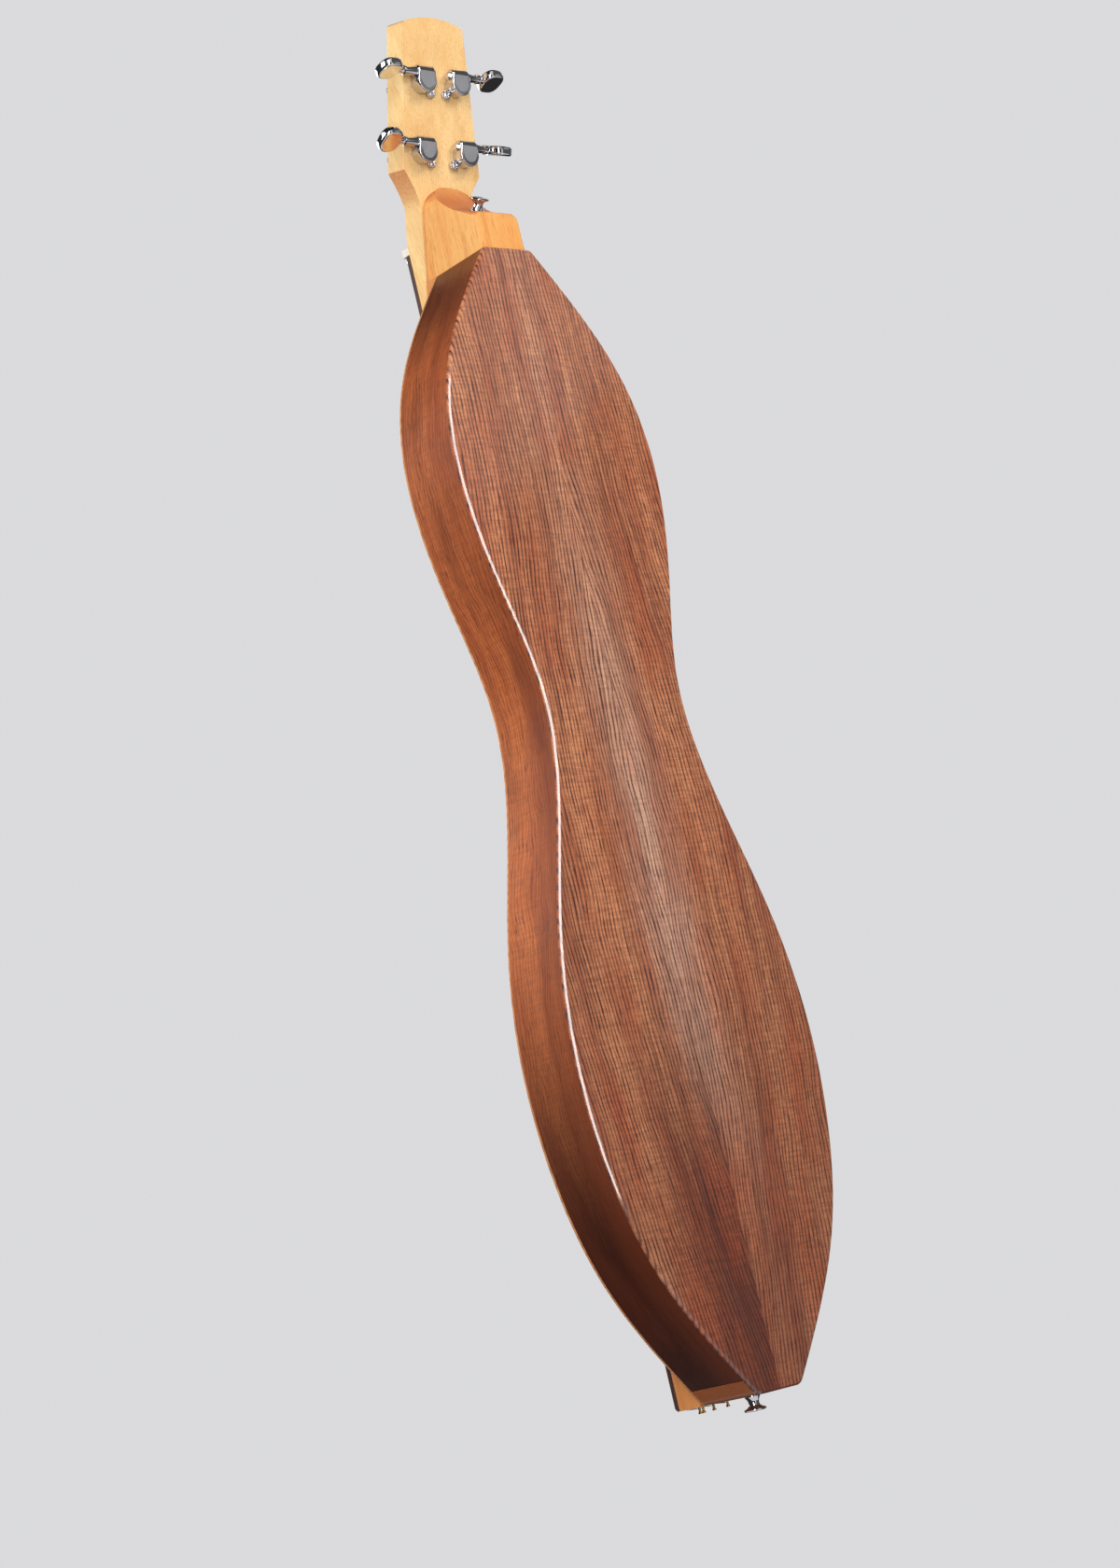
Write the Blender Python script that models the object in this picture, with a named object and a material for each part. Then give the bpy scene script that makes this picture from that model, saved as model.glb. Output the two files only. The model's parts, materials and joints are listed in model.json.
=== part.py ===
"""Mountain dulcimer with four geared tuners, lying on its back with the strings up.

Every length is in metres. The body's own frame has x = 0 at the head end of the body and runs towards
the tail, y = 0 on the centre seam and z = 0 on the outside of the back. The root empty then moves it
all so that the origin lies at the middle of the whole instrument's length, on the surface it lies on.
"""
import math
from functools import lru_cache

import bmesh
import bpy
import numpy as np
from mathutils import Matrix, Vector

MM = 0.001

# Gap between two glued or touching pieces
GAP = 0.3 * MM

# Body
BODY_LENGTH = 700 * MM
BODY_DEPTH = 48.4 * MM
HEAD_HALF_WIDTH = 19 * MM
UPPER_BOUT_HALF_WIDTH = 81 * MM
WAIST_HALF_WIDTH = 56 * MM
LOWER_BOUT_HALF_WIDTH = 96 * MM
TAIL_HALF_WIDTH = 18 * MM
BACK_THICKNESS = 2.5 * MM
SOUNDBOARD_THICKNESS = 2.5 * MM
SIDE_THICKNESS = 2.2 * MM
EDGE_ROUNDING = 1.8 * MM
HEAD_CORNER_RADIUS = 4 * MM
TAIL_CORNER_RADIUS = 8 * MM
TAIL_CAP_LENGTH = 10 * MM
HEAD_BLOCK_LENGTH = 36 * MM
TAIL_BLOCK_LENGTH = 34 * MM
LINING_WIDTH = 5 * MM
LINING_HEIGHT = 6 * MM
BRACE_WIDTH = 8 * MM
BRACE_HEIGHT = 10 * MM
BRACE_TIP_HEIGHT = 3.5 * MM
BRACE_TIP_LENGTH = 25 * MM
BACK_BRACE_SHARES = (0.15, 0.42, 0.68)
TOP_BRACE_SHARES = (0.33, 0.6)
SOUNDHOLE_WIDTH = 24 * MM
SOUNDHOLE_SHARES = (0.23, 0.73)

# Heel, the part of the head block that stands out of the body
HEEL_HALF_WIDTH = 17.3 * MM
HEEL_LENGTH = 24.4 * MM
HEEL_SCOOP_RADIUS = 51.3 * MM
HEEL_SCOOP_LEAN = math.radians(13.4)
HEEL_NOSE_START = 43 * MM
HEEL_NOSE_TIP = 57 * MM
HEEL_CORNER_RADIUS = 5 * MM
HEEL_CORNER_FADE = 0.25
HEEL_ARRIS_RADIUS = 0.5 * MM
HEEL_EDGE_ROUNDING = 1.5 * MM
HEEL_TENON_LENGTH = 4 * MM
HEEL_TENON_SHOULDER = 1 * MM

# Fretboard, fingerboard and strings
FRETBOARD_HALF_WIDTH = 19 * MM
FRETBOARD_HEIGHT = 17.6 * MM
FINGERBOARD_THICKNESS = 3.4 * MM
ZERO_FRET_INSET = 3.5 * MM
FRET_WIDTH = 2.0 * MM
FRET_HEIGHT = 1.0 * MM
NUT_THICKNESS = 5 * MM
NUT_HEIGHT = 6.2 * MM
NUT_MARGIN = 1.5 * MM
NUT_SLOT_HALF_WIDTH = 0.75 * MM
SADDLE_INSET = 32.7 * MM
SADDLE_THICKNESS = 3 * MM
SADDLE_SLOT_DEPTH = 2 * MM
SADDLE_END_INSET = 3 * MM
ACTION = 2.6 * MM
STRUM_HOLLOW_LENGTH = 96 * MM
STRUM_HOLLOW_DEPTH = 5 * MM
STRUM_HOLLOW_MARGIN = 2 * MM
BRIDGE_CAP_LENGTH = 50 * MM
STRING_PLACES = (11.5 * MM, 8.6 * MM, 0.0, -11.5 * MM)
STRING_RADII = (0.15 * MM, 0.15 * MM, 0.22 * MM, 0.32 * MM)
TAIL_PIN_RADIUS = 1.1 * MM
TAIL_PIN_STANDOUT = 4 * MM
TAIL_PIN_BURY = 9 * MM
TAIL_PIN_CLEARANCE = 0.1 * MM

# Peghead, measured along its own tilted back face from the plane of the body's head end
PEGHEAD_TILT = math.radians(14)
PEGHEAD_THICKNESS = 15.5 * MM
PEGHEAD_BACK_DROP = 8.8 * MM
PEGHEAD_TONGUE_TIP = 1.3 * MM
PEGHEAD_NECK_LENGTH = 45 * MM
PEGHEAD_SHOULDER_LENGTH = 24 * MM
PEGHEAD_ELBOW_SHARE = 0.3
PEGHEAD_SHOULDER_HALF_WIDTH = 30.7 * MM
PEGHEAD_TIP_HALF_WIDTH = 24.2 * MM
PEGHEAD_TIP_CORNER = 2 * MM
PEGHEAD_CROWN = 4.5 * MM

# Tuners, spaced along the peghead between its shoulders and its tip
SHOULDER_TO_TUNER = 11.6 * MM
TUNER_SPACING = 43.8 * MM
TUNER_TO_TIP = 41.1 * MM
TUNER_INSET = 13 * MM
GEAR_TEETH = 14
WORM_PITCH = 1.5 * MM
WORM_PITCH_RADIUS = 1.6 * MM
TOOTH_ADDENDUM = 0.42 * MM
TOOTH_DEDENDUM = 0.55 * MM
GEAR_WIDTH = 3.0 * MM
WORM_THREAD_LENGTH = 4.5 * MM
WORM_SHAFT_RADIUS = 1.4 * MM
HOUSING_HALF_WIDTH = 7.5 * MM
HOUSING_END_HALF_WIDTH = 6.3 * MM
HOUSING_WALL = 1.0 * MM
HOUSING_HEIGHT = 8.4 * MM
HOUSING_SHOULDER = 0.3 * MM
HOUSING_EDGE = 0.8 * MM
SHAFT_TUBE_RADIUS = 2.7 * MM
SHAFT_TUBE_STANDOUT = 3.5 * MM
BEARING_BOSS_RADIUS = 2.3 * MM
BEARING_BOSS_STANDOUT = 1.2 * MM
SCREW_EAR_TURN = math.radians(50)
SCREW_EAR_RADIUS = 2.9 * MM
SCREW_EAR_OVERLAP = 0.15 * MM
SCREW_EAR_THICKNESS = 1.5 * MM
SCREW_RADIUS = 0.9 * MM
SCREW_HEAD_RADIUS = 2.4 * MM
SCREW_HEAD_HEIGHT = 1.4 * MM
SCREW_LENGTH = 9 * MM
SCREW_POINT_LENGTH = 2 * MM
POST_RADIUS = 3.0 * MM
POST_WAIST_RADIUS = 2.3 * MM
POST_WAIST_START = 3.2 * MM
POST_STANDOUT = 13 * MM
POST_CROWN_LENGTH = 1.4 * MM
POST_TAPER_LENGTH = 1.2 * MM
POST_HOLE_RADIUS = 0.7 * MM
BUSHING_WALL = 1.6 * MM
BUSHING_DEPTH = 9 * MM
BUSHING_FLANGE_RADIUS = 6 * MM
BUSHING_FLANGE_HEIGHT = 1.6 * MM
BUTTON_LENGTH = 15 * MM
BUTTON_WIDTH = 17 * MM
BUTTON_THICKNESS = 6 * MM
BUTTON_SQUARENESS = 0.75
BUTTON_NECK_RADIUS = 2.6 * MM
BUTTON_NECK_LENGTH = 3 * MM
BUTTON_BORE_SHARE = 0.45
BUTTON_TURNS = (math.radians(129), math.radians(112), math.radians(62), math.radians(100))
RUNNING_CLEARANCE = 0.12 * MM
WINDING_TURNS = 2
WINDING_RISE = 2.9 * MM
WINDING_LOOSENESS = 0.15 * MM
LOOP_STEPS = 24

# Strap buttons
STRAP_BUTTON_LENGTH = 9 * MM
STRAP_BUTTON_FLANGE_RADIUS = 6.6 * MM
STRAP_BUTTON_NECK_RADIUS = 3.2 * MM
STRAP_BUTTON_FOOT_RADIUS = 4.6 * MM
STRAP_SCREW_RADIUS = 1.6 * MM
STRAP_SCREW_LENGTH = 18 * MM
STRAP_SCREW_CLEARANCE = 0.15 * MM
HEEL_BUTTON_HEIGHT = 19 * MM

# Sizes that follow from those above
SIDE_BOTTOM = BACK_THICKNESS + GAP
SIDE_TOP = BODY_DEPTH - SOUNDBOARD_THICKNESS - GAP
FRETBOARD_BOTTOM = BODY_DEPTH + GAP
FRETBOARD_TOP = FRETBOARD_BOTTOM + FRETBOARD_HEIGHT
FINGERBOARD_BOTTOM = FRETBOARD_TOP + GAP
FINGERBOARD_TOP = FINGERBOARD_BOTTOM + FINGERBOARD_THICKNESS
FRET_TOP = FINGERBOARD_TOP + FRET_HEIGHT
PEGHEAD_BACK_AT_HEAD_END = FRETBOARD_TOP - PEGHEAD_BACK_DROP
PEGHEAD_TONGUE_LENGTH = (PEGHEAD_BACK_DROP - PEGHEAD_TONGUE_TIP) / math.tan(PEGHEAD_TILT)
PEGHEAD_FLAT_DROP = PEGHEAD_THICKNESS / math.cos(PEGHEAD_TILT) - PEGHEAD_BACK_DROP
PEGHEAD_FLAT_LENGTH = PEGHEAD_FLAT_DROP / math.tan(PEGHEAD_TILT)
PEGHEAD_SHOULDER_START = PEGHEAD_NECK_LENGTH + PEGHEAD_SHOULDER_LENGTH
LOWER_TUNER_PLACE = PEGHEAD_SHOULDER_START + SHOULDER_TO_TUNER
UPPER_TUNER_PLACE = LOWER_TUNER_PLACE + TUNER_SPACING
PEGHEAD_LENGTH = UPPER_TUNER_PLACE + TUNER_TO_TIP
NUT_BACK = -(PEGHEAD_FLAT_LENGTH - NUT_MARGIN - NUT_THICKNESS)
FINGERBOARD_START = NUT_BACK + GAP
ZERO_FRET = FINGERBOARD_START + ZERO_FRET_INSET
SADDLE_PLACE = BODY_LENGTH - SADDLE_INSET
STRING_LENGTH = SADDLE_PLACE - ZERO_FRET
BRIDGE_CAP_START = BODY_LENGTH - BRIDGE_CAP_LENGTH
STRUM_HOLLOW_END = BRIDGE_CAP_START - STRUM_HOLLOW_MARGIN
STRUM_HOLLOW_START = STRUM_HOLLOW_END - STRUM_HOLLOW_LENGTH
FINGERBOARD_END = STRUM_HOLLOW_START - STRUM_HOLLOW_MARGIN
GEAR_PITCH_RADIUS = GEAR_TEETH * WORM_PITCH / (2 * math.pi)
WORM_OFFSET = GEAR_PITCH_RADIUS + WORM_PITCH_RADIUS
WORM_HEIGHT = -HOUSING_HEIGHT / 2
SCREW_EAR_REACH = HOUSING_HALF_WIDTH + SCREW_EAR_RADIUS - SCREW_EAR_OVERLAP
SCREW_EAR_OFFSET = (SCREW_EAR_REACH * math.cos(SCREW_EAR_TURN), SCREW_EAR_REACH * math.sin(SCREW_EAR_TURN))
SHAFT_TUBE_END = TUNER_INSET + SHAFT_TUBE_STANDOUT
BUTTON_START = SHAFT_TUBE_END + GAP
BUTTON_MIDDLE = BUTTON_START + BUTTON_NECK_LENGTH + BUTTON_LENGTH / 2
SHAFT_END = BUTTON_START + BUTTON_NECK_LENGTH + BUTTON_BORE_SHARE * BUTTON_LENGTH
BUSHING_RADIUS = POST_RADIUS + RUNNING_CLEARANCE + BUSHING_WALL
WINDING_HEIGHT = PEGHEAD_THICKNESS + BUSHING_FLANGE_HEIGHT + POST_WAIST_START
POST_HOLE_HEIGHT = WINDING_HEIGHT + WINDING_RISE
TAIL_PIN_HEIGHT = FRETBOARD_BOTTOM + FRETBOARD_HEIGHT / 2

# Steps of the round shapes, and how far a cutter runs past what it cuts
OUTLINE_STEPS = 30
ROUND_STEPS = 16
SMALL_ROUND_STEPS = 12
CUTTER_REACH = 5 * MM


def clear_scene():
    """Remove every object that the new file came with."""
    for item in list(bpy.data.objects):
        bpy.data.objects.remove(item, do_unlink=True)


def finish(name, colour, roughness, metallic=0.0):
    """A Principled material with the piece's colour, roughness and metallic value."""
    material = bpy.data.materials.new(name)
    material.use_nodes = True
    shader = material.node_tree.nodes["Principled BSDF"]
    shader.inputs["Base Color"].default_value = (*colour, 1.0)
    shader.inputs["Roughness"].default_value = roughness
    shader.inputs["Metallic"].default_value = metallic
    return material


def empty(name, parent=None, location=(0, 0, 0), rotation=(0, 0, 0)):
    """A frame for pieces to be parented to."""
    frame = bpy.data.objects.new(name, None)
    bpy.context.collection.objects.link(frame)
    frame.parent = parent
    frame.location = location
    frame.rotation_euler = rotation
    return frame


def add_object(name, mesh_builder, material, parent, location=(0, 0, 0), rotation=(0, 0, 0)):
    """Turn a bmesh into a named object with its normals out."""
    bmesh.ops.recalc_face_normals(mesh_builder, faces=mesh_builder.faces)
    mesh = bpy.data.meshes.new(name)
    mesh_builder.to_mesh(mesh)
    mesh_builder.free()
    mesh.shade_smooth()
    mesh.set_sharp_from_angle(angle=math.radians(35))
    item = bpy.data.objects.new(name, mesh)
    if material:
        mesh.materials.append(material)
    bpy.context.collection.objects.link(item)
    item.parent = parent
    item.location = location
    item.rotation_euler = rotation
    return item


def combine(target, tool, operation):
    """Cut the tool from the target, or join it on; the tool itself is only a guide."""
    tool.hide_render = True
    tool.display_type = "WIRE"
    modifier = target.modifiers.new(f"{operation.lower()} {tool.name}", "BOOLEAN")
    modifier.object = tool
    modifier.operation = operation


def loft(rings):
    """A closed solid through rings of equally many points, with a cap on each end."""
    builder = bmesh.new()
    rows = [[builder.verts.new(point) for point in ring] for ring in rings]
    count = len(rows[0])
    for low, high in zip(rows, rows[1:]):
        for i in range(count):
            j = (i + 1) % count
            builder.faces.new((low[i], low[j], high[j], high[i]))
    builder.faces.new(rows[0])
    builder.faces.new(rows[-1])
    return builder


def plan_prism(points, bottom, top):
    """A solid of a plan outline between two heights."""
    return loft([[(x, y, bottom) for x, y in points], [(x, y, top) for x, y in points]])


def side_prism(points, half_width):
    """A solid of a side profile in x and z, symmetric about the centre plane."""
    return loft([[(x, y, z) for x, z in points] for y in (-half_width, half_width)])


def circle(radius, height, steps):
    """Points round the z axis."""
    turns = [2 * math.pi * i / steps for i in range(steps)]
    return [(radius * math.cos(a), radius * math.sin(a), height) for a in turns]


def turned(profile, steps=ROUND_STEPS):
    """A turned solid about the z axis from (radius, height) pairs."""
    return loft([circle(radius, height, steps) for radius, height in profile])


def rod(radius, low, high):
    """A plain round bar or cutter along the z axis."""
    return turned([(radius, low), (radius, high)], SMALL_ROUND_STEPS)


def along_y(builder, side=1):
    """Turn a solid about z so that its axis lies along y, towards one side."""
    turn = Matrix.Rotation(-side * math.pi / 2, 4, "X")
    bmesh.ops.transform(builder, matrix=turn, verts=builder.verts)
    return builder


def along_x(builder, direction=1):
    """Turn a solid about z so that its axis lies along x."""
    turn = Matrix.Rotation(direction * math.pi / 2, 4, "Y")
    bmesh.ops.transform(builder, matrix=turn, verts=builder.verts)
    return builder


def outline_spline():
    """The body's half width along its length, as a smooth curve through the bouts and the waist.

    Each tenth of the length has a width that lies at some share of the way between two named widths.
    """
    upper = UPPER_BOUT_HALF_WIDTH
    waist = WAIST_HALF_WIDTH
    lower = LOWER_BOUT_HALF_WIDTH
    stations = (
        (0.0, HEAD_HALF_WIDTH),
        (0.1, HEAD_HALF_WIDTH + 0.75 * (upper - HEAD_HALF_WIDTH)),
        (0.2, upper),
        (0.3, waist + 0.6 * (upper - waist)),
        (0.4, waist),
        (0.5, waist + 0.23 * (lower - waist)),
        (0.6, waist + 0.74 * (lower - waist)),
        (0.7, lower),
        (0.8, TAIL_HALF_WIDTH + 0.936 * (lower - TAIL_HALF_WIDTH)),
        (0.9, TAIL_HALF_WIDTH + 0.633 * (lower - TAIL_HALF_WIDTH)),
        (1.0, TAIL_HALF_WIDTH),
    )
    xs = np.array([share for share, _ in stations]) * BODY_LENGTH
    ys = np.array([width for _, width in stations])
    count = len(xs)
    step = xs[1] - xs[0]
    # A natural cubic spline over even steps
    system = np.eye(count)
    right = np.zeros(count)
    for i in range(1, count - 1):
        system[i, i - 1:i + 2] = (1, 4, 1)
        right[i] = 6 * (ys[i - 1] - 2 * ys[i] + ys[i + 1]) / step ** 2
    bends = np.linalg.solve(system, right)
    return xs, ys, bends, step


OUTLINE = outline_spline()
STATIONS = np.linspace(0, BODY_LENGTH, OUTLINE_STEPS + 1)


def half_width(x):
    """The outline's half width at one place along the body."""
    xs, ys, bends, step = OUTLINE
    i = int(np.clip(x / step, 0, len(xs) - 2))
    after = (x - xs[i]) / step
    before = 1 - after
    bow = ((before ** 3 - before) * bends[i] + (after ** 3 - after) * bends[i + 1]) * step ** 2 / 6
    return float(before * ys[i] + after * ys[i + 1] + bow)


@lru_cache
def inset_line(inset):
    """Half widths, at the outline's stations, of the line at a fixed distance inside the outline."""
    places = np.linspace(0, BODY_LENGTH, 8 * OUTLINE_STEPS + 1)
    widths = np.array([half_width(place) for place in places])
    slopes = np.gradient(widths, places)
    lengths = np.hypot(1, slopes)
    return np.interp(STATIONS, places + inset * slopes / lengths, widths - inset / lengths)


def inset_half_width(x, inset):
    """The half width at x of the line at a fixed distance inside the outline, straight between stations."""
    return float(np.interp(x, STATIONS, inset_line(inset)))


def stations_between(start, end):
    """Both ends of a stretch of the body and every station inside it."""
    inside = [float(x) for x in STATIONS if start + MM < x < end - MM]
    return [start] + inside + [end]


def rounded_corner(before, corner, after, radius, steps):
    """Points of the arc that rounds a corner, from the side of the point before it."""
    corner = Vector(corner)
    to_before = (Vector(before) - corner).normalized()
    to_after = (Vector(after) - corner).normalized()
    half_angle = to_before.angle(to_after) / 2
    centre = corner + (to_before + to_after).normalized() * (radius / math.sin(half_angle))
    start = corner + to_before * (radius / math.tan(half_angle)) - centre
    end = corner + to_after * (radius / math.tan(half_angle)) - centre
    points = []
    for i in range(steps + 1):
        spoke = start.slerp(end, i / steps) * radius
        points.append(tuple(centre + spoke))
    return points


def body_edge():
    """The outline of one half of the body, from the centre of its head end round to the tail."""
    end_x = BODY_LENGTH
    head_corner = (0.0, half_width(0.0))
    tail_corner = (end_x, half_width(end_x))
    curve = [(float(x), half_width(x)) for x in STATIONS[1:-1]]
    points = [(0.0, 0.0)]
    points += rounded_corner(points[0], head_corner, curve[0], HEAD_CORNER_RADIUS, 3)
    points += curve
    points += rounded_corner(curve[-1], tail_corner, (end_x, 0.0), TAIL_CORNER_RADIUS, 5)
    points.append((end_x, 0.0))
    return points


def moved_inwards(edge, inset):
    """The outline moved inwards by a small distance, with the same number of points."""
    points = []
    for i, (x, y) in enumerate(edge):
        before = Vector(edge[max(i - 1, 0)])
        after = Vector(edge[min(i + 1, len(edge) - 1)])
        along = (after - before).normalized()
        points.append((x + inset * along.y, y - inset * along.x if 0 < i < len(edge) - 1 else y))
    return points


def half_back(side):
    """One half of the back, its outer edge rounded on the outside."""
    edge = body_edge()
    seam = GAP / 2
    rings = []
    for turn in (0, 30, 60, 90):
        angle = math.radians(turn)
        inset = EDGE_ROUNDING * (1 - math.sin(angle))
        height = EDGE_ROUNDING * (1 - math.cos(angle))
        rings.append([(x, side * max(y, seam), height) for x, y in moved_inwards(edge, inset)])
    rings.append([(x, side * max(y, seam), BACK_THICKNESS) for x, y in edge])
    return loft(rings)


def full_edge(inset=0.0):
    """The outline of the whole body."""
    left = moved_inwards(body_edge(), inset)[1:-1]
    return left + [(x, -y) for x, y in reversed(left)]


def add_plates(root, materials):
    """The book-matched back and the soundboard with its four hearts."""
    for side, name in ((1, "back_left"), (-1, "back_right")):
        add_object(name, half_back(side), materials["back"], root)
    bottom = BODY_DEPTH - SOUNDBOARD_THICKNESS
    rings = [[(x, y, bottom) for x, y in full_edge()]]
    for turn in (90, 0):
        angle = math.radians(turn)
        inset = EDGE_ROUNDING * (1 - math.sin(angle))
        height = BODY_DEPTH - EDGE_ROUNDING * (1 - math.cos(angle))
        rings.append([(x, y, height) for x, y in full_edge(inset)])
    soundboard = add_object("soundboard", loft(rings), materials["soundboard"], root)
    for share, bout in zip(SOUNDHOLE_SHARES, (UPPER_BOUT_HALF_WIDTH, LOWER_BOUT_HALF_WIDTH)):
        middle = (bout + FRETBOARD_HALF_WIDTH) / 2
        for side in (1, -1):
            hole = plan_prism(heart(), bottom - CUTTER_REACH, BODY_DEPTH + CUTTER_REACH)
            place = (share * BODY_LENGTH, side * middle, 0)
            cutter = add_object(f"heart_{share}_{side}", hole, None, root, place)
            combine(soundboard, cutter, "DIFFERENCE")


def heart():
    """A heart from its well-known curve, 32 units wide, its point towards the tail."""
    scale = SOUNDHOLE_WIDTH / 32
    steps = 18
    points = []
    for i in range(steps):
        t = 2 * math.pi * i / steps
        across = 16 * math.sin(t) ** 3
        along = 13 * math.cos(t) - 5 * math.cos(2 * t) - 2 * math.cos(3 * t) - math.cos(4 * t)
        points.append((-along * scale, across * scale))
    return points


def strip(side, outer_inset, width, bottom, top, start, end, chamfer=0.0):
    """A strip that follows the body's outline at an inset, on one side of the body."""
    rings = []
    for x in stations_between(start, end):
        outer = side * inset_half_width(x, outer_inset)
        inner = side * inset_half_width(x, outer_inset + width)
        far = top - chamfer if chamfer > 0 else top
        near = bottom - chamfer if chamfer < 0 else bottom
        rings.append([(x, outer, bottom), (x, outer, top), (x, inner, far), (x, inner, near)])
    return loft(rings)


def add_sides(root, materials):
    """The bent sides and the linings glued inside their edges."""
    for side, name in ((1, "left"), (-1, "right")):
        bent = strip(side, 0.0, SIDE_THICKNESS, SIDE_BOTTOM, SIDE_TOP, 0.0, BODY_LENGTH - TAIL_CAP_LENGTH)
        add_object(f"side_{name}", bent, materials["side"], root)
        inset = SIDE_THICKNESS + GAP
        start = HEAD_BLOCK_LENGTH + GAP
        end = BODY_LENGTH - TAIL_BLOCK_LENGTH - GAP
        low = strip(side, inset, LINING_WIDTH, SIDE_BOTTOM, SIDE_BOTTOM + LINING_HEIGHT, start, end,
                    LINING_HEIGHT / 3)
        add_object(f"back_lining_{name}", low, materials["lining"], root)
        high = strip(side, inset, LINING_WIDTH, SIDE_TOP - LINING_HEIGHT, SIDE_TOP, start, end,
                     -LINING_HEIGHT / 3)
        add_object(f"top_lining_{name}", high, materials["lining"], root)


def brace(x, bottom, rising):
    """A cross brace with lowered tips, standing on the back or hanging from the soundboard."""
    reach = min(inset_half_width(x + shift, SIDE_THICKNESS + LINING_WIDTH + 2 * GAP)
                for shift in (-BRACE_WIDTH / 2, BRACE_WIDTH / 2)) - GAP
    tip = reach - BRACE_TIP_LENGTH
    profile = [(-reach, 0), (reach, 0), (reach, BRACE_TIP_HEIGHT), (tip, BRACE_HEIGHT),
               (-tip, BRACE_HEIGHT), (-reach, BRACE_TIP_HEIGHT)]
    turn = 1 if rising else -1
    rings = [[(x + shift, y, bottom + turn * z) for y, z in profile]
             for shift in (-BRACE_WIDTH / 2, BRACE_WIDTH / 2)]
    return loft(rings)


def add_braces(root, materials):
    """Three braces across the back and two under the soundboard."""
    for number, share in enumerate(BACK_BRACE_SHARES, 1):
        shape = brace(share * BODY_LENGTH, SIDE_BOTTOM, True)
        add_object(f"back_brace_{number}", shape, materials["brace"], root)
    for number, share in enumerate(TOP_BRACE_SHARES, 1):
        shape = brace(share * BODY_LENGTH, SIDE_TOP, False)
        add_object(f"top_brace_{number}", shape, materials["brace"], root)


def plate_back_height(x):
    """Height of the peghead's tilted back face above the outside of the back."""
    return PEGHEAD_BACK_AT_HEAD_END + math.tan(PEGHEAD_TILT) * x


def on_scoop(angle, inset=0.0):
    """A point on the hollow scooped out of the heel's end, as its x and z."""
    radius = HEEL_SCOOP_RADIUS - inset
    return (-HEEL_LENGTH - HEEL_SCOOP_RADIUS * math.cos(HEEL_SCOOP_LEAN) + radius * math.cos(angle),
            SIDE_BOTTOM - HEEL_SCOOP_RADIUS * math.sin(HEEL_SCOOP_LEAN) + radius * math.sin(angle))


def heel_end(share):
    """Where the scoop of the heel's end lies at one level, found by halving the arc."""
    low, high = HEEL_SCOOP_LEAN, math.radians(88)
    for _ in range(40):
        angle = (low + high) / 2
        x, height = on_scoop(angle)
        if height - SIDE_BOTTOM < share * (heel_top(x) - SIDE_BOTTOM):
            low = angle
        else:
            high = angle
    return x


def heel_top(x):
    """Height of the heel's tilted top, glued to the peghead."""
    return plate_back_height(x) - GAP / math.cos(PEGHEAD_TILT)


def heel_ring(share, edge_inset):
    """One level of the heel, from its back face (share 0) to the peghead's back face (share 1)."""
    end_x = max(heel_end(share), -HEEL_NOSE_TIP) + edge_inset
    half = HEEL_HALF_WIDTH - edge_inset
    steps = 6
    if end_x > -HEEL_NOSE_START:
        fade = max(0.0, 1 - share / HEEL_CORNER_FADE)
        radius = HEEL_ARRIS_RADIUS + fade * (HEEL_CORNER_RADIUS - HEEL_ARRIS_RADIUS)
        edge = rounded_corner((-GAP, half), (end_x, half), (end_x, 0.0), radius, steps)
    else:
        nose = HEEL_NOSE_TIP - HEEL_NOSE_START
        cut = math.asin(min(0.99, (-HEEL_NOSE_START - end_x) / nose))
        turns = [cut * i / steps for i in range(steps + 1)]
        edge = [(-HEEL_NOSE_START - nose * math.sin(turn), half * math.cos(turn)) for turn in turns]
    end_x, end_half = edge[-1]
    left = [(-GAP, half)] + edge + [(end_x, 0.5 * end_half), (end_x, 0.0)]
    plan = left + [(x, -y) for x, y in reversed(left[:-1])]
    return [(x, y, SIDE_BOTTOM + share * (heel_top(x) - SIDE_BOTTOM)) for x, y in plan]


def block_plan(start, end, inset):
    """The plan of a block that fills the body from side to side between two places."""
    left = [(x, inset_half_width(x, inset)) for x in stations_between(start, end)]
    return left + [(x, -y) for x, y in reversed(left)]


def add_blocks(root, materials):
    """The head block with its heel, and the tail block with its rounded cap."""
    rounding = HEEL_EDGE_ROUNDING / (PEGHEAD_BACK_AT_HEAD_END - SIDE_BOTTOM)
    levels = [(0.0, HEEL_EDGE_ROUNDING), (0.3 * rounding, 0.3 * HEEL_EDGE_ROUNDING), (rounding, 0.0)]
    levels += [(share, 0.0) for share in (0.12, 0.25, 0.4, 0.54, 0.65, 0.72, 0.78, 0.84, 0.89, 0.93, 1.0)]
    block = add_object("head_block", loft([heel_ring(*level) for level in levels]), materials["heel"], root)
    inset = SIDE_THICKNESS + GAP
    tenon = min(inset_half_width(0.0, inset), HEEL_HALF_WIDTH - HEEL_TENON_SHOULDER)
    start = -HEEL_TENON_LENGTH
    plan = [(start, tenon)] + block_plan(0.0, HEAD_BLOCK_LENGTH, inset) + [(start, -tenon)]
    inner = plan_prism(plan, SIDE_BOTTOM, SIDE_TOP)
    combine(block, add_object("head_block_inner", inner, None, root), "UNION")

    start = BODY_LENGTH - TAIL_BLOCK_LENGTH
    shoulder = BODY_LENGTH - TAIL_CAP_LENGTH + GAP
    inner = plan_prism(block_plan(start, shoulder + GAP, inset), SIDE_BOTTOM, SIDE_TOP)
    tail = add_object("tail_block", inner, materials["tail"], root)
    cap_edge = [point for point in body_edge() if point[0] > shoulder]
    first = (shoulder, half_width(shoulder))
    left = [first] + cap_edge[:-1]
    cap = plan_prism(left + [(x, -y) for x, y in reversed(left)], SIDE_BOTTOM, SIDE_TOP)
    combine(tail, add_object("tail_cap", cap, None, root), "UNION")


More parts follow.
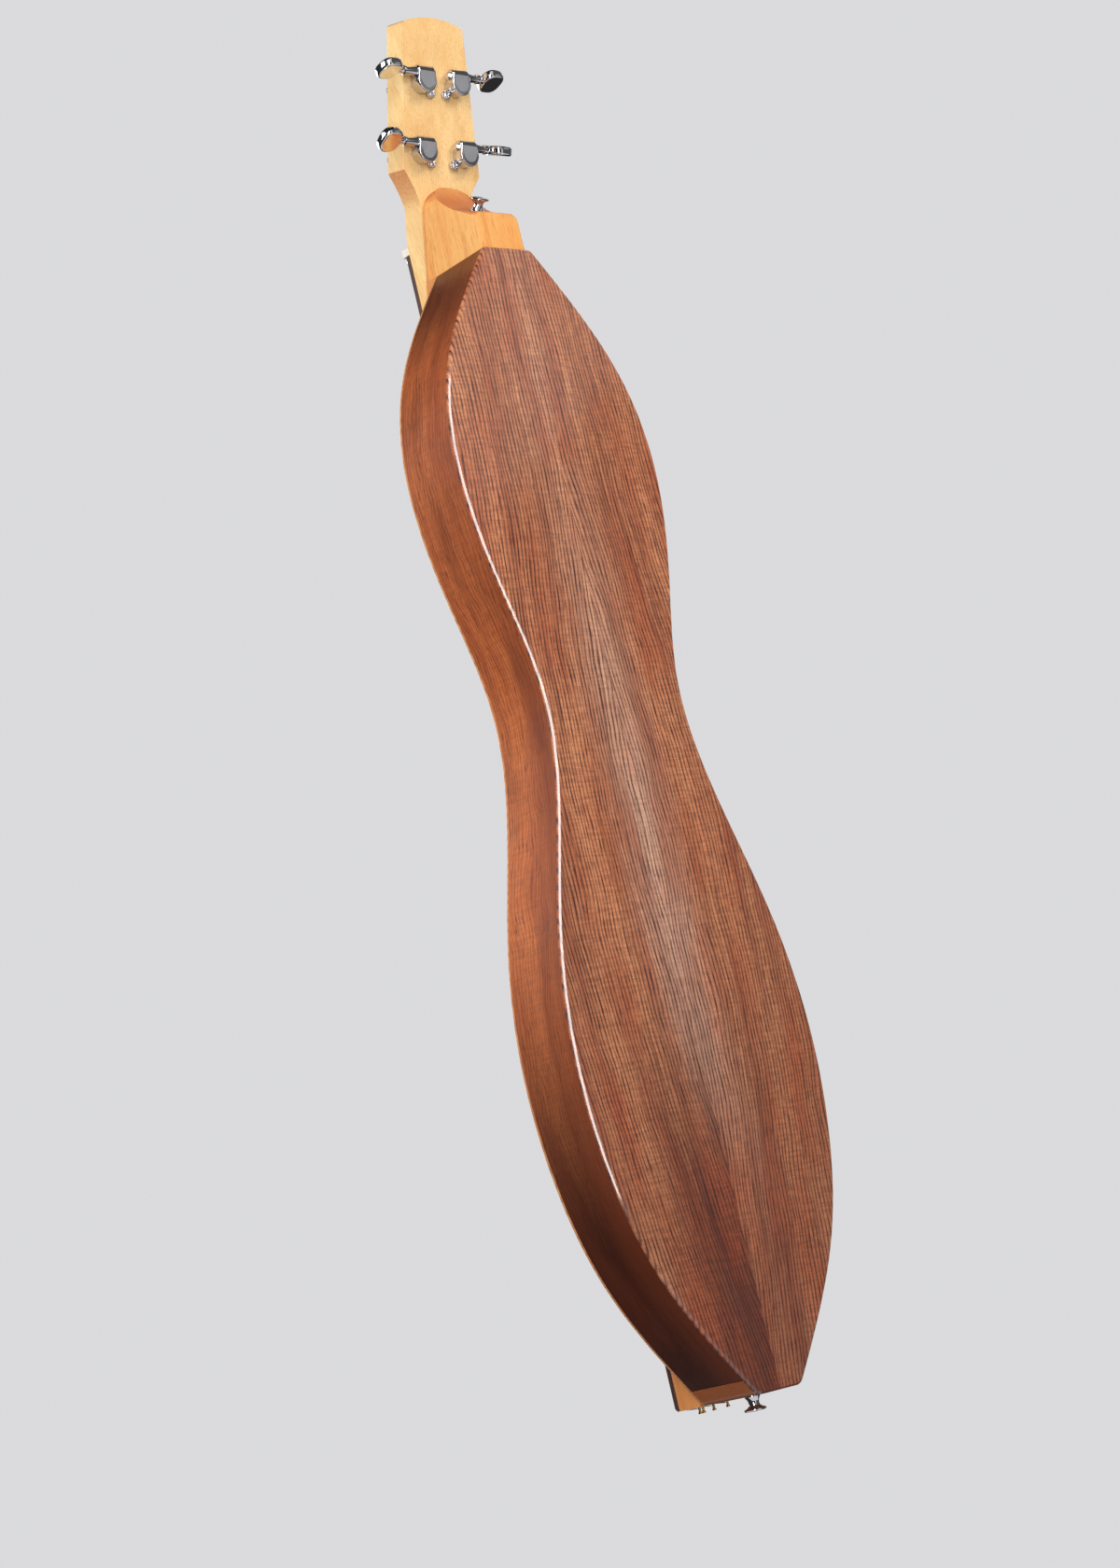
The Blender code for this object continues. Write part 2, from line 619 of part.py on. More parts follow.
def fret_places():
    """Distances of the diatonic frets from the zero fret, with the six and a half."""
    semitones = (2, 4, 5, 7, 9, 10, 11, 12, 14, 16, 17, 19, 21, 22, 24)
    return [STRING_LENGTH * (1 - 2 ** (-n / 12)) for n in semitones]


def fret_profile(x):
    """The section of a fret, standing on the fingerboard."""
    half = FRET_WIDTH / 2
    flank = FINGERBOARD_TOP + 0.75 * FRET_HEIGHT
    return [(x - half, FINGERBOARD_TOP), (x - 0.6 * half, flank), (x, FRET_TOP), (x + 0.6 * half, flank),
            (x + half, FINGERBOARD_TOP)]


def add_fretboard(root, materials):
    """The fretboard beam, the dark fingerboard with its frets, the nut, the bridge cap and the saddle."""
    gap = GAP / math.cos(PEGHEAD_TILT)
    shoulder = PEGHEAD_TONGUE_LENGTH + GAP
    profile = [(0.0, FRETBOARD_BOTTOM), (BODY_LENGTH, FRETBOARD_BOTTOM), (BODY_LENGTH, FRETBOARD_TOP),
               (STRUM_HOLLOW_END, FRETBOARD_TOP)]
    steps = 12
    for i in range(1, steps):
        share = i / steps
        x = STRUM_HOLLOW_END - share * STRUM_HOLLOW_LENGTH
        profile.append((x, FRETBOARD_TOP - STRUM_HOLLOW_DEPTH * math.sin(math.pi * share) ** 0.7))
    profile += [(STRUM_HOLLOW_START, FRETBOARD_TOP), (shoulder, FRETBOARD_TOP),
                (shoulder, plate_back_height(shoulder) - gap), (0.0, plate_back_height(0.0) - gap)]
    add_object("fretboard", side_prism(profile, FRETBOARD_HALF_WIDTH), materials["fretboard"], root)

    profile = [(FINGERBOARD_START, FINGERBOARD_TOP)]
    for place in [0.0] + fret_places():
        profile += fret_profile(ZERO_FRET + place)
    profile += [(FINGERBOARD_END, FINGERBOARD_TOP), (FINGERBOARD_END, FINGERBOARD_BOTTOM),
                (FINGERBOARD_START, FINGERBOARD_BOTTOM)]
    add_object("fingerboard", side_prism(profile, FRETBOARD_HALF_WIDTH), materials["fingerboard"], root)
    add_bridge(root, materials)
    add_nut(root, materials)


def add_bridge(root, materials):
    """The dark cap at the tail with a slot across it, and the bone saddle standing in the slot."""
    floor = FINGERBOARD_TOP - SADDLE_SLOT_DEPTH
    half = SADDLE_THICKNESS / 2 + GAP
    profile = [(BRIDGE_CAP_START, FINGERBOARD_BOTTOM), (BODY_LENGTH, FINGERBOARD_BOTTOM),
               (BODY_LENGTH, FINGERBOARD_TOP - FINGERBOARD_THICKNESS / 2),
               (BODY_LENGTH - FINGERBOARD_THICKNESS / 2, FINGERBOARD_TOP),
               (SADDLE_PLACE + half, FINGERBOARD_TOP), (SADDLE_PLACE + half, floor),
               (SADDLE_PLACE - half, floor), (SADDLE_PLACE - half, FINGERBOARD_TOP),
               (BRIDGE_CAP_START, FINGERBOARD_TOP)]
    add_object("bridge_cap", side_prism(profile, FRETBOARD_HALF_WIDTH), materials["fingerboard"], root)

    crown = FRET_TOP + ACTION
    half = SADDLE_THICKNESS / 2
    profile = [(SADDLE_PLACE - half, floor + GAP), (SADDLE_PLACE + half, floor + GAP),
               (SADDLE_PLACE + half, crown - 0.8 * half), (SADDLE_PLACE + 0.2 * half, crown),
               (SADDLE_PLACE - half, crown)]
    add_object("saddle", side_prism(profile, FRETBOARD_HALF_WIDTH - SADDLE_END_INSET), materials["bone"], root)


def add_nut(root, materials):
    """The bone nut on the flat of the peghead, with a slot for each string."""
    low = FRETBOARD_TOP + GAP
    top = low + NUT_HEIGHT
    slot = nut_slot_floor()
    wide = NUT_SLOT_HALF_WIDTH
    across = [(-FRETBOARD_HALF_WIDTH, low), (FRETBOARD_HALF_WIDTH, low), (FRETBOARD_HALF_WIDTH, top)]
    for place in STRING_PLACES:
        across += [(place + wide, top), (place + 0.6 * wide, slot)]
        across += [(place - 0.6 * wide, slot), (place - wide, top)]
    across.append((-FRETBOARD_HALF_WIDTH, top))
    rings = [[(x, y, z) for y, z in across] for x in (NUT_BACK - NUT_THICKNESS, NUT_BACK)]
    add_object("nut", loft(rings), materials["bone"], root)


def nut_slot_floor():
    """Height of the nut's slots, a little under the zero fret."""
    return FRET_TOP - 0.3 * MM


def peghead_half_width(place):
    """Half width of the peghead at a distance from the head end's plane."""
    share = (PEGHEAD_LENGTH - place) / (PEGHEAD_LENGTH - PEGHEAD_SHOULDER_START)
    return PEGHEAD_TIP_HALF_WIDTH + share * (PEGHEAD_SHOULDER_HALF_WIDTH - PEGHEAD_TIP_HALF_WIDTH)


def peghead_edge():
    """Half of the peghead's plan from the middle of its tip to the end of its tongue."""
    points = []
    for share in (0, 0.17, 0.34, 0.5, 0.67, 0.83):
        points.append((-PEGHEAD_LENGTH + PEGHEAD_CROWN * share ** 2, PEGHEAD_TIP_HALF_WIDTH * share))
    shoulder = (-PEGHEAD_SHOULDER_START, PEGHEAD_SHOULDER_HALF_WIDTH)
    tip_corner = (-PEGHEAD_LENGTH + PEGHEAD_CROWN, PEGHEAD_TIP_HALF_WIDTH)
    points += rounded_corner(points[-1], tip_corner, shoulder, PEGHEAD_TIP_CORNER, 2)
    elbow = (-PEGHEAD_NECK_LENGTH - PEGHEAD_ELBOW_SHARE * PEGHEAD_SHOULDER_LENGTH, FRETBOARD_HALF_WIDTH)
    neck = (-PEGHEAD_NECK_LENGTH, FRETBOARD_HALF_WIDTH)
    points.append(shoulder)
    for i in range(1, 8):
        t = i / 8
        points.append(tuple((1 - t) ** 2 * a + 2 * t * (1 - t) * b + t ** 2 * c
                            for a, b, c in zip(shoulder, elbow, neck)))
    points.append(neck)
    points.append((PEGHEAD_TONGUE_LENGTH / math.cos(PEGHEAD_TILT), FRETBOARD_HALF_WIDTH))
    return points


def add_peghead(root, materials):
    """The tilted peghead, planed flat on top where the nut and the fingerboard stand on it."""
    frame = empty("peghead_frame", root, (0, 0, PEGHEAD_BACK_AT_HEAD_END), (0, -PEGHEAD_TILT, 0))
    left = peghead_edge()
    plan = left + [(s, -y) for s, y in reversed(left[1:])]
    plate = plan_prism(plan, 0.0, PEGHEAD_THICKNESS)
    up = Vector((math.sin(PEGHEAD_TILT), 0, math.cos(PEGHEAD_TILT)))
    flat = up * (FRETBOARD_TOP - PEGHEAD_BACK_AT_HEAD_END)
    along = Vector((math.cos(PEGHEAD_TILT), 0, -math.sin(PEGHEAD_TILT)))
    for point, normal in ((flat, up), (along * PEGHEAD_TONGUE_LENGTH, along)):
        parts = plate.verts[:] + plate.edges[:] + plate.faces[:]
        cut = bmesh.ops.bisect_plane(plate, geom=parts, plane_co=point, plane_no=normal, clear_outer=True)
        rim = [item for item in cut["geom_cut"] if isinstance(item, bmesh.types.BMEdge)]
        bmesh.ops.contextual_create(plate, geom=rim)
    peghead = add_object("peghead", plate, materials["peghead"], frame)
    return frame, peghead


def add_hole(target, frame, name, radius, place, low, high):
    """A round hole through or into the peghead, in the peghead's own frame."""
    cutter = add_object(name, rod(radius, low, high), None, frame, (*place, 0))
    combine(target, cutter, "DIFFERENCE")


def housing_plan(inset):
    """The plan of a tuner's cover about its post: narrower and square by the worm, round at the far end."""
    half = HOUSING_HALF_WIDTH - inset
    end_half = HOUSING_END_HALF_WIDTH - inset
    back = inset - (WORM_OFFSET + WORM_PITCH_RADIUS + TOOTH_ADDENDUM + HOUSING_WALL + 2 * RUNNING_CLEARANCE)
    points = [(back, -end_half), (-HOUSING_SHOULDER, -half)]
    steps = 8
    for i in range(1, steps):
        angle = -math.pi / 2 + math.pi * i / steps
        points.append((half * math.cos(angle), half * math.sin(angle)))
    points += [(-HOUSING_SHOULDER, half), (back, end_half)]
    return points


def housing(name, side, materials, frame):
    """A cast cover with the tube for the worm's shaft, the far bearing and the screw ear."""
    roof = -HOUSING_HEIGHT - GAP
    plan = housing_plan(0.0)
    rings = [[(x, y, -GAP) for x, y in plan], [(x, y, roof + HOUSING_EDGE) for x, y in plan],
             [(x, y, roof) for x, y in housing_plan(HOUSING_EDGE)]]
    cover = add_object(name, loft(rings), materials["chrome"], frame)

    worm_axis = (-WORM_OFFSET, 0, WORM_HEIGHT)
    sleeve = along_y(rod(SHAFT_TUBE_RADIUS, 0, SHAFT_TUBE_END), side)
    combine(cover, add_object(f"{name}_tube", sleeve, None, frame, worm_axis), "UNION")
    boss = along_y(rod(BEARING_BOSS_RADIUS, 0, HOUSING_HALF_WIDTH + BEARING_BOSS_STANDOUT), -side)
    combine(cover, add_object(f"{name}_boss", boss, None, frame, worm_axis), "UNION")

    ear_x, ear_y = SCREW_EAR_OFFSET
    ear_place = (ear_x, -side * ear_y, 0)
    ear = rod(SCREW_EAR_RADIUS, -GAP - SCREW_EAR_THICKNESS, -GAP)
    combine(cover, add_object(f"{name}_ear", ear, None, frame, ear_place), "UNION")

    hollow = plan_prism(housing_plan(HOUSING_WALL), roof + HOUSING_WALL, CUTTER_REACH)
    combine(cover, add_object(f"{name}_hollow", hollow, None, frame), "DIFFERENCE")
    reach = SHAFT_TUBE_END + CUTTER_REACH
    bore = along_y(rod(WORM_SHAFT_RADIUS + RUNNING_CLEARANCE, -reach, reach), side)
    combine(cover, add_object(f"{name}_bore", bore, None, frame, worm_axis), "DIFFERENCE")
    screw_hole = rod(SCREW_RADIUS + GAP, -CUTTER_REACH, CUTTER_REACH)
    combine(cover, add_object(f"{name}_screw_hole", screw_hole, None, frame, ear_place), "DIFFERENCE")


def worm_radius(angle, place):
    """Radius of the worm's single thread at an angle round its axis and a place along it."""
    phase = place / WORM_PITCH - angle / (2 * math.pi)
    root = WORM_PITCH_RADIUS - TOOTH_DEDENDUM
    tip = WORM_PITCH_RADIUS + TOOTH_ADDENDUM
    return root + (tip - root) * max(0.0, math.cos(2 * math.pi * phase)) ** 0.8


def worm_shaft(name, side, materials, frame):
    """The worm on its shaft, with one end in the far bearing and the other in the button."""
    inner_end = -side * (HOUSING_HALF_WIDTH + BEARING_BOSS_STANDOUT - GAP)
    low, high = sorted((inner_end, side * SHAFT_END))
    half_thread = WORM_THREAD_LENGTH / 2
    run_out = WORM_PITCH / 2
    rows_per_pitch = 6
    rows = round(WORM_THREAD_LENGTH / WORM_PITCH * rows_per_pitch)
    rings = []
    turns = [2 * math.pi * i / SMALL_ROUND_STEPS for i in range(SMALL_ROUND_STEPS)]

    def ring(place, radius_at):
        rings.append([(radius_at(a) * math.cos(a), place, -radius_at(a) * math.sin(a)) for a in turns])

    ring(low, lambda a: WORM_SHAFT_RADIUS)
    ring(-half_thread - run_out, lambda a: WORM_SHAFT_RADIUS)
    for row in range(rows + 1):
        place = -half_thread + WORM_THREAD_LENGTH * row / rows
        if row in (0, rows):
            ring(place, lambda a: WORM_PITCH_RADIUS - TOOTH_DEDENDUM)
        else:
            ring(place, lambda a, y=place: worm_radius(a, y))
    ring(half_thread + run_out, lambda a: WORM_SHAFT_RADIUS)
    ring(high, lambda a: WORM_SHAFT_RADIUS)
    add_object(name, loft(rings), materials["steel"], frame, (-WORM_OFFSET, 0, WORM_HEIGHT))


def fuller(value):
    """A cosine or sine drawn out towards its ends, which turns an ellipse into a squarer oval."""
    return math.copysign(abs(value) ** BUTTON_SQUARENESS, value)


def button_head():
    """The squarish oval that the fingers turn, its length along z."""
    rings = []
    for latitude in (-80, -58, -32, 0, 32, 58, 80):
        lean = math.radians(latitude)
        swell = fuller(math.cos(lean))
        height = BUTTON_MIDDLE + BUTTON_LENGTH / 2 * fuller(math.sin(lean))
        turns = [2 * math.pi * (i + 0.5) / ROUND_STEPS for i in range(ROUND_STEPS)]
        rings.append([(BUTTON_WIDTH / 2 * swell * fuller(math.cos(a)),
                       BUTTON_THICKNESS / 2 * swell * fuller(math.sin(a)), height) for a in turns])
    return loft(rings)


def button(name, side, turn, materials, frame):
    """The finger button with its neck, bored for the shaft."""
    rotation = (0, side * turn, 0)
    place = (-WORM_OFFSET, 0, WORM_HEIGHT)
    item = add_object(name, along_y(button_head(), side), materials["chrome"], frame, place, rotation)
    neck = turned([(BUTTON_NECK_RADIUS, BUTTON_START), (0.8 * BUTTON_NECK_RADIUS, BUTTON_MIDDLE)],
                  SMALL_ROUND_STEPS)
    combine(item, add_object(f"{name}_neck", along_y(neck, side), None, frame, place, rotation), "UNION")
    bore = rod(WORM_SHAFT_RADIUS + RUNNING_CLEARANCE, BUTTON_START - CUTTER_REACH, SHAFT_END + GAP)
    combine(item, add_object(f"{name}_bore", along_y(bore, side), None, frame, place, rotation), "DIFFERENCE")


def gear_ring(height):
    """The gear's outline at one height, with a tooth space facing the worm."""
    root = GEAR_PITCH_RADIUS - TOOTH_DEDENDUM
    tip = GEAR_PITCH_RADIUS + TOOTH_ADDENDUM
    pitch = 2 * math.pi / GEAR_TEETH
    points = []
    for tooth in range(GEAR_TEETH):
        middle = math.pi + pitch * (tooth + 0.5)
        for radius, offset in ((root, -0.2), (tip, -0.1), (tip, 0.1), (root, 0.2)):
            angle = middle + offset * pitch
            points.append((radius * math.cos(angle), radius * math.sin(angle), height))
    return points


def string_post(name, materials, frame):
    """The gear and the post it turns, waisted and bored across where the string is wound."""
    low = WORM_HEIGHT - GEAR_WIDTH / 2
    high = WORM_HEIGHT + GEAR_WIDTH / 2
    item = add_object(name, loft([gear_ring(low), gear_ring(high)]), materials["post"], frame)
    flange_top = PEGHEAD_THICKNESS + BUSHING_FLANGE_HEIGHT
    top = PEGHEAD_THICKNESS + POST_STANDOUT
    crown = 0.93 * POST_RADIUS
    shaft = turned([(POST_RADIUS, high - GEAR_WIDTH / 2),
                    (POST_RADIUS, flange_top + POST_WAIST_START - 1.5 * POST_TAPER_LENGTH),
                    (POST_WAIST_RADIUS, flange_top + POST_WAIST_START - 0.5 * POST_TAPER_LENGTH),
                    (POST_WAIST_RADIUS, top - POST_CROWN_LENGTH - POST_TAPER_LENGTH),
                    (crown, top - POST_CROWN_LENGTH), (crown, top)], SMALL_ROUND_STEPS)
    combine(item, add_object(f"{name}_shaft", shaft, None, frame), "UNION")
    hole = along_y(turned([(POST_HOLE_RADIUS, -2 * POST_RADIUS), (POST_HOLE_RADIUS, 2 * POST_RADIUS)], 8))
    combine(item, add_object(f"{name}_hole", hole, None, frame, (0, 0, POST_HOLE_HEIGHT)), "DIFFERENCE")


def bushing(name, materials, frame):
    """The threaded collar that holds the post in the peghead's face."""
    inner = POST_RADIUS + RUNNING_CLEARANCE
    low = PEGHEAD_THICKNESS - BUSHING_DEPTH
    flange = PEGHEAD_THICKNESS + GAP
    top = flange + BUSHING_FLANGE_HEIGHT
    shape = turned([(BUSHING_RADIUS, low), (BUSHING_RADIUS, flange), (BUSHING_FLANGE_RADIUS, flange),
                    (BUSHING_FLANGE_RADIUS, top - 0.4 * BUSHING_FLANGE_HEIGHT),
                    (BUSHING_FLANGE_RADIUS - 0.5 * BUSHING_FLANGE_HEIGHT, top)])
    item = add_object(name, shape, materials["chrome"], frame)
    bore = turned([(inner, low - CUTTER_REACH), (inner, top + CUTTER_REACH)])
    combine(item, add_object(f"{name}_bore", bore, None, frame), "DIFFERENCE")


def mounting_screw(name, side, materials, frame):
    """The small round-headed screw through the cover's ear."""
    ear_x, ear_y = SCREW_EAR_OFFSET
    seat = -GAP - SCREW_EAR_THICKNESS - GAP
    end = seat + SCREW_LENGTH
    shape = turned([(0.3 * SCREW_RADIUS, end), (SCREW_RADIUS, end - SCREW_POINT_LENGTH), (SCREW_RADIUS, seat),
                    (SCREW_HEAD_RADIUS, seat), (0.9 * SCREW_HEAD_RADIUS, seat - 0.4 * SCREW_HEAD_HEIGHT),
                    (0.5 * SCREW_HEAD_RADIUS, seat - SCREW_HEAD_HEIGHT)], SMALL_ROUND_STEPS)
    add_object(name, shape, materials["chrome"], frame, (ear_x, -side * ear_y, 0))


def wire(name, points, radius, material, parent):
    """A round wire along points, with closed ends."""
    curve = bpy.data.curves.new(name, "CURVE")
    curve.dimensions = "3D"
    curve.bevel_depth = radius
    curve.bevel_resolution = 1
    curve.use_fill_caps = True
    spline = curve.splines.new("POLY")
    spline.points.add(len(points) - 1)
    for target, point in zip(spline.points, points):
        target.co = (*point, 1)
    curve.materials.append(material)
    item = bpy.data.objects.new(name, curve)
    bpy.context.collection.objects.link(item)
    item.parent = parent


def least_gap(points, radius):
    """The smallest space between a wire and its own other turns."""
    places = np.array(points)
    half_turn = LOOP_STEPS // 2
    nearest = min(np.linalg.norm(places[i + half_turn:] - places[i], axis=1).min()
                  for i in range(len(places) - half_turn))
    return float(nearest) - 2 * radius


def tangent_point(post, side, nut_point, radius):
    """Where a string from the nut touches the winding, on the post's side by the centre line."""
    reach = Vector(nut_point) - Vector(post)
    swing = math.acos(radius / reach.length)
    heading = math.atan2(reach.y, reach.x) - side * swing
    return heading, (post[0] + radius * math.cos(heading), post[1] + radius * math.sin(heading))


def add_tuners(root, frame, peghead, materials):
    """Four geared tuners, two on each side of the peghead, each with its string's winding."""
    places = ((1, LOWER_TUNER_PLACE), (1, UPPER_TUNER_PLACE), (-1, UPPER_TUNER_PLACE), (-1, LOWER_TUNER_PLACE))
    for index, (side, place) in enumerate(places):
        number = index + 1
        post = (-place, side * (peghead_half_width(place) - TUNER_INSET))
        tuner = empty(f"tuner_{number}_frame", frame, (*post, 0))
        housing(f"tuner_{number}_housing", side, materials, tuner)
        worm_shaft(f"tuner_{number}_worm_shaft", side, materials, tuner)
        button(f"tuner_{number}_button", side, BUTTON_TURNS[index], materials, tuner)
        string_post(f"tuner_{number}_post", materials, tuner)
        bushing(f"tuner_{number}_bushing", materials, tuner)
        mounting_screw(f"tuner_{number}_screw", side, materials, tuner)
        add_hole(peghead, frame, f"post_hole_{number}", BUSHING_RADIUS + GAP, post, -CUTTER_REACH,
                 PEGHEAD_THICKNESS + CUTTER_REACH)
        ear = (post[0] + SCREW_EAR_OFFSET[0], post[1] - side * SCREW_EAR_OFFSET[1])
        add_hole(peghead, frame, f"screw_hole_{number}", SCREW_RADIUS + GAP, ear, -CUTTER_REACH, SCREW_LENGTH)
        add_string(root, tuner, index, side, post, materials)


def winding(heading, side, loop, radius, onward):
    """A string's turns up the post from where it arrives, and its end in the post's hole."""
    mouth = math.pi / 2
    turn_step = 2 * math.pi / LOOP_STEPS
    swept = 2 * math.pi * WINDING_TURNS
    left_over = (side * (heading - mouth) - swept) % math.pi
    # The last loop stops a little before the hole's mouth, where the wire bends inwards
    bend = 0.2
    sweep = swept + left_over - bend
    steps = round(sweep / turn_step)
    start = Vector((loop * math.cos(heading), loop * math.sin(heading), WINDING_HEIGHT))
    points = [start + onward * 2 * radius]
    for i in range(steps + 1):
        share = i / steps
        angle = heading - side * sweep * share
        level = WINDING_HEIGHT + WINDING_RISE * share
        points.append(Vector((loop * math.cos(angle), loop * math.sin(angle), level)))
    into = heading - side * (swept + left_over)
    for before, inwards in ((0.07, 0.04), (0.015, 0.1), (0.0, 0.21), (0.0, 1.0)):
        angle = into + side * before
        reach = loop * (1 - inwards)
        points.append(Vector((reach * math.cos(angle), reach * math.sin(angle), POST_HOLE_HEIGHT)))
    return points


def add_string(root, tuner, index, side, post, materials):
    """One string from its tail pin over the saddle and the nut, and its winding on the post."""
    number = index + 1
    radius = STRING_RADII[index]
    y = STRING_PLACES[index]
    # The string lies this far above what carries it, at its middle line
    rest = radius + 0.05 * MM
    clear = rest + 0.25 * MM
    turn = Matrix.Rotation(-PEGHEAD_TILT, 4, "Y")
    turn.translation = (0, 0, PEGHEAD_BACK_AT_HEAD_END)
    nut_exit = Vector((NUT_BACK - NUT_THICKNESS, y, nut_slot_floor() + rest + 0.1 * MM))
    in_plate = turn.inverted() @ nut_exit
    loop = POST_WAIST_RADIUS + radius + WINDING_LOOSENESS
    heading, touch = tangent_point(post, side, in_plate.xy, loop)
    start = Vector((*touch, WINDING_HEIGHT))
    onward = (in_plate - start).normalized()
    turns = winding(heading, side, loop, radius, onward)
    wire(f"string_{number}_winding", turns, radius, materials["string"], tuner)
    print(f"string_{number}_winding: least gap to itself {least_gap(turns, radius) / MM:.2f} mm")

    points = [turn @ (start + onward * 2 * (radius + GAP)), nut_exit,
              Vector((NUT_BACK, y, FRET_TOP + rest - 0.1 * MM)),
              Vector((ZERO_FRET, y, FRET_TOP + rest)),
              Vector((SADDLE_PLACE, y, FRET_TOP + ACTION + rest)),
              Vector((SADDLE_PLACE + 2 * SADDLE_THICKNESS, y, FRET_TOP + ACTION + rest - 0.6 * ACTION)),
              Vector((BODY_LENGTH - FINGERBOARD_THICKNESS / 2, y, FINGERBOARD_TOP + clear)),
              Vector((BODY_LENGTH + clear, y, FINGERBOARD_TOP - 0.6 * FINGERBOARD_THICKNESS)),
              Vector((BODY_LENGTH + 2 * clear, y, TAIL_PIN_HEIGHT + TAIL_PIN_RADIUS + radius + GAP))]
    wire(f"string_{number}", points, radius, materials["string"], root)


def add_tail_pins(root, materials):
    """The hitch pins, driven into holes in the end of the fretboard."""
    fretboard = bpy.data.objects["fretboard"]
    shank = 0.7 * TAIL_PIN_RADIUS
    for number, y in enumerate(STRING_PLACES, 1):
        pin = turned([(0.5 * TAIL_PIN_RADIUS, -TAIL_PIN_BURY), (shank, 0.2 * TAIL_PIN_BURY - TAIL_PIN_BURY),
                      (shank, 0.7 * TAIL_PIN_STANDOUT), (1.15 * TAIL_PIN_RADIUS, 0.8 * TAIL_PIN_STANDOUT),
                      (TAIL_PIN_RADIUS, TAIL_PIN_STANDOUT)], 8)
        place = (BODY_LENGTH, y, TAIL_PIN_HEIGHT)
        add_object(f"tail_pin_{number}", along_x(pin), materials["brass"], root, place)
        hole = turned([(shank + TAIL_PIN_CLEARANCE, -TAIL_PIN_BURY - GAP),
                       (shank + TAIL_PIN_CLEARANCE, CUTTER_REACH)], 8)
        combine(fretboard, add_object(f"pin_hole_{number}", along_x(hole), None, root, place), "DIFFERENCE")


def strap_button_shape():
    """A turned strap button on its screw, standing on z = 0."""
    length = STRAP_BUTTON_LENGTH
    flange = STRAP_BUTTON_FLANGE_RADIUS
    return turned([(0.4 * STRAP_SCREW_RADIUS, -STRAP_SCREW_LENGTH),
                   (STRAP_SCREW_RADIUS, -0.83 * STRAP_SCREW_LENGTH), (STRAP_SCREW_RADIUS, 0),
                   (STRAP_BUTTON_FOOT_RADIUS, 0),
                   (STRAP_BUTTON_FOOT_RADIUS, 0.08 * length), (STRAP_BUTTON_NECK_RADIUS, 0.35 * length),
                   (STRAP_BUTTON_NECK_RADIUS, 0.6 * length), (flange, 0.82 * length), (flange, 0.94 * length),
                   (0.83 * flange, length)])


def heel_button_frame(root):
    """A frame on the heel's scooped end, its z axis square out of the surface."""
    rise = (HEEL_BUTTON_HEIGHT - SIDE_BOTTOM) / HEEL_SCOOP_RADIUS
    angle = math.asin(rise + math.sin(HEEL_SCOOP_LEAN))
    # The foot is wide, so it stands off the hollow by the depth of the hollow under it
    sag = HEEL_SCOOP_RADIUS - math.sqrt(HEEL_SCOOP_RADIUS ** 2 - STRAP_BUTTON_FOOT_RADIUS ** 2)
    x, height = on_scoop(angle, sag + GAP)
    return empty("heel_button_frame", root, (x, 0, height), (0, -math.pi / 2 - angle, 0))


def add_strap_buttons(root, materials):
    """One button on the heel and one in the middle of the tail."""
    head_block = bpy.data.objects["head_block"]
    tail_block = bpy.data.objects["tail_block"]
    heel_frame = heel_button_frame(root)
    tail_frame = empty("tail_button_frame", root, (BODY_LENGTH + GAP, 0, BODY_DEPTH / 2), (0, math.pi / 2, 0))
    for name, frame, block in (("head_strap_button", heel_frame, head_block),
                               ("tail_strap_button", tail_frame, tail_block)):
        add_object(name, strap_button_shape(), materials["chrome"], frame)
        hole = rod(STRAP_SCREW_RADIUS + STRAP_SCREW_CLEARANCE, -STRAP_SCREW_LENGTH - GAP, CUTTER_REACH)
        combine(block, add_object(f"{name}_hole", hole, None, frame), "DIFFERENCE")


def main():
    """Build the whole instrument."""
    clear_scene()
    materials = {
        "back": finish("walnut back", (0.20, 0.075, 0.035), 0.45),
        "side": finish("walnut side", (0.17, 0.055, 0.02), 0.4),
        "soundboard": finish("cedar soundboard", (0.50, 0.24, 0.10), 0.5),
        "lining": finish("basswood lining", (0.65, 0.50, 0.32), 0.7),
        "brace": finish("spruce brace", (0.72, 0.58, 0.38), 0.7),
        "heel": finish("cherry heel", (0.62, 0.27, 0.09), 0.4),
        "tail": finish("cherry tail block", (0.50, 0.22, 0.08), 0.5),
        "peghead": finish("cherry peghead", (0.75, 0.42, 0.17), 0.4),
        "fretboard": finish("cherry fretboard", (0.62, 0.30, 0.12), 0.45),
        "fingerboard": finish("walnut fingerboard", (0.05, 0.02, 0.012), 0.4),
        "bone": finish("bone", (0.86, 0.82, 0.72), 0.35, 0.0),
        "chrome": finish("chrome", (0.80, 0.80, 0.82), 0.12, 1.0),
        "steel": finish("steel", (0.55, 0.55, 0.56), 0.3, 1.0),
        "post": finish("nickel post", (0.75, 0.73, 0.70), 0.2, 1.0),
        "brass": finish("brass pin", (0.75, 0.55, 0.25), 0.3, 1.0),
        "string": finish("steel string", (0.65, 0.65, 0.66), 0.25, 1.0),
    }
    tip_x = -PEGHEAD_LENGTH * math.cos(PEGHEAD_TILT) - PEGHEAD_THICKNESS * math.sin(PEGHEAD_TILT)
    tail_x = BODY_LENGTH + GAP + STRAP_BUTTON_LENGTH
    root = empty("dulcimer", None, (-(tip_x + tail_x) / 2, 0, 0))
    add_plates(root, materials)
    add_sides(root, materials)
    add_braces(root, materials)
    add_blocks(root, materials)
    add_fretboard(root, materials)
    frame, peghead = add_peghead(root, materials)
    add_tuners(root, frame, peghead, materials)
    add_tail_pins(root, materials)
    add_strap_buttons(root, materials)


main()
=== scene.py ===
"""A mountain dulcimer seen from its back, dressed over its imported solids."""

import json
import math

import bmesh
import bpy
from mathutils import Matrix, Vector


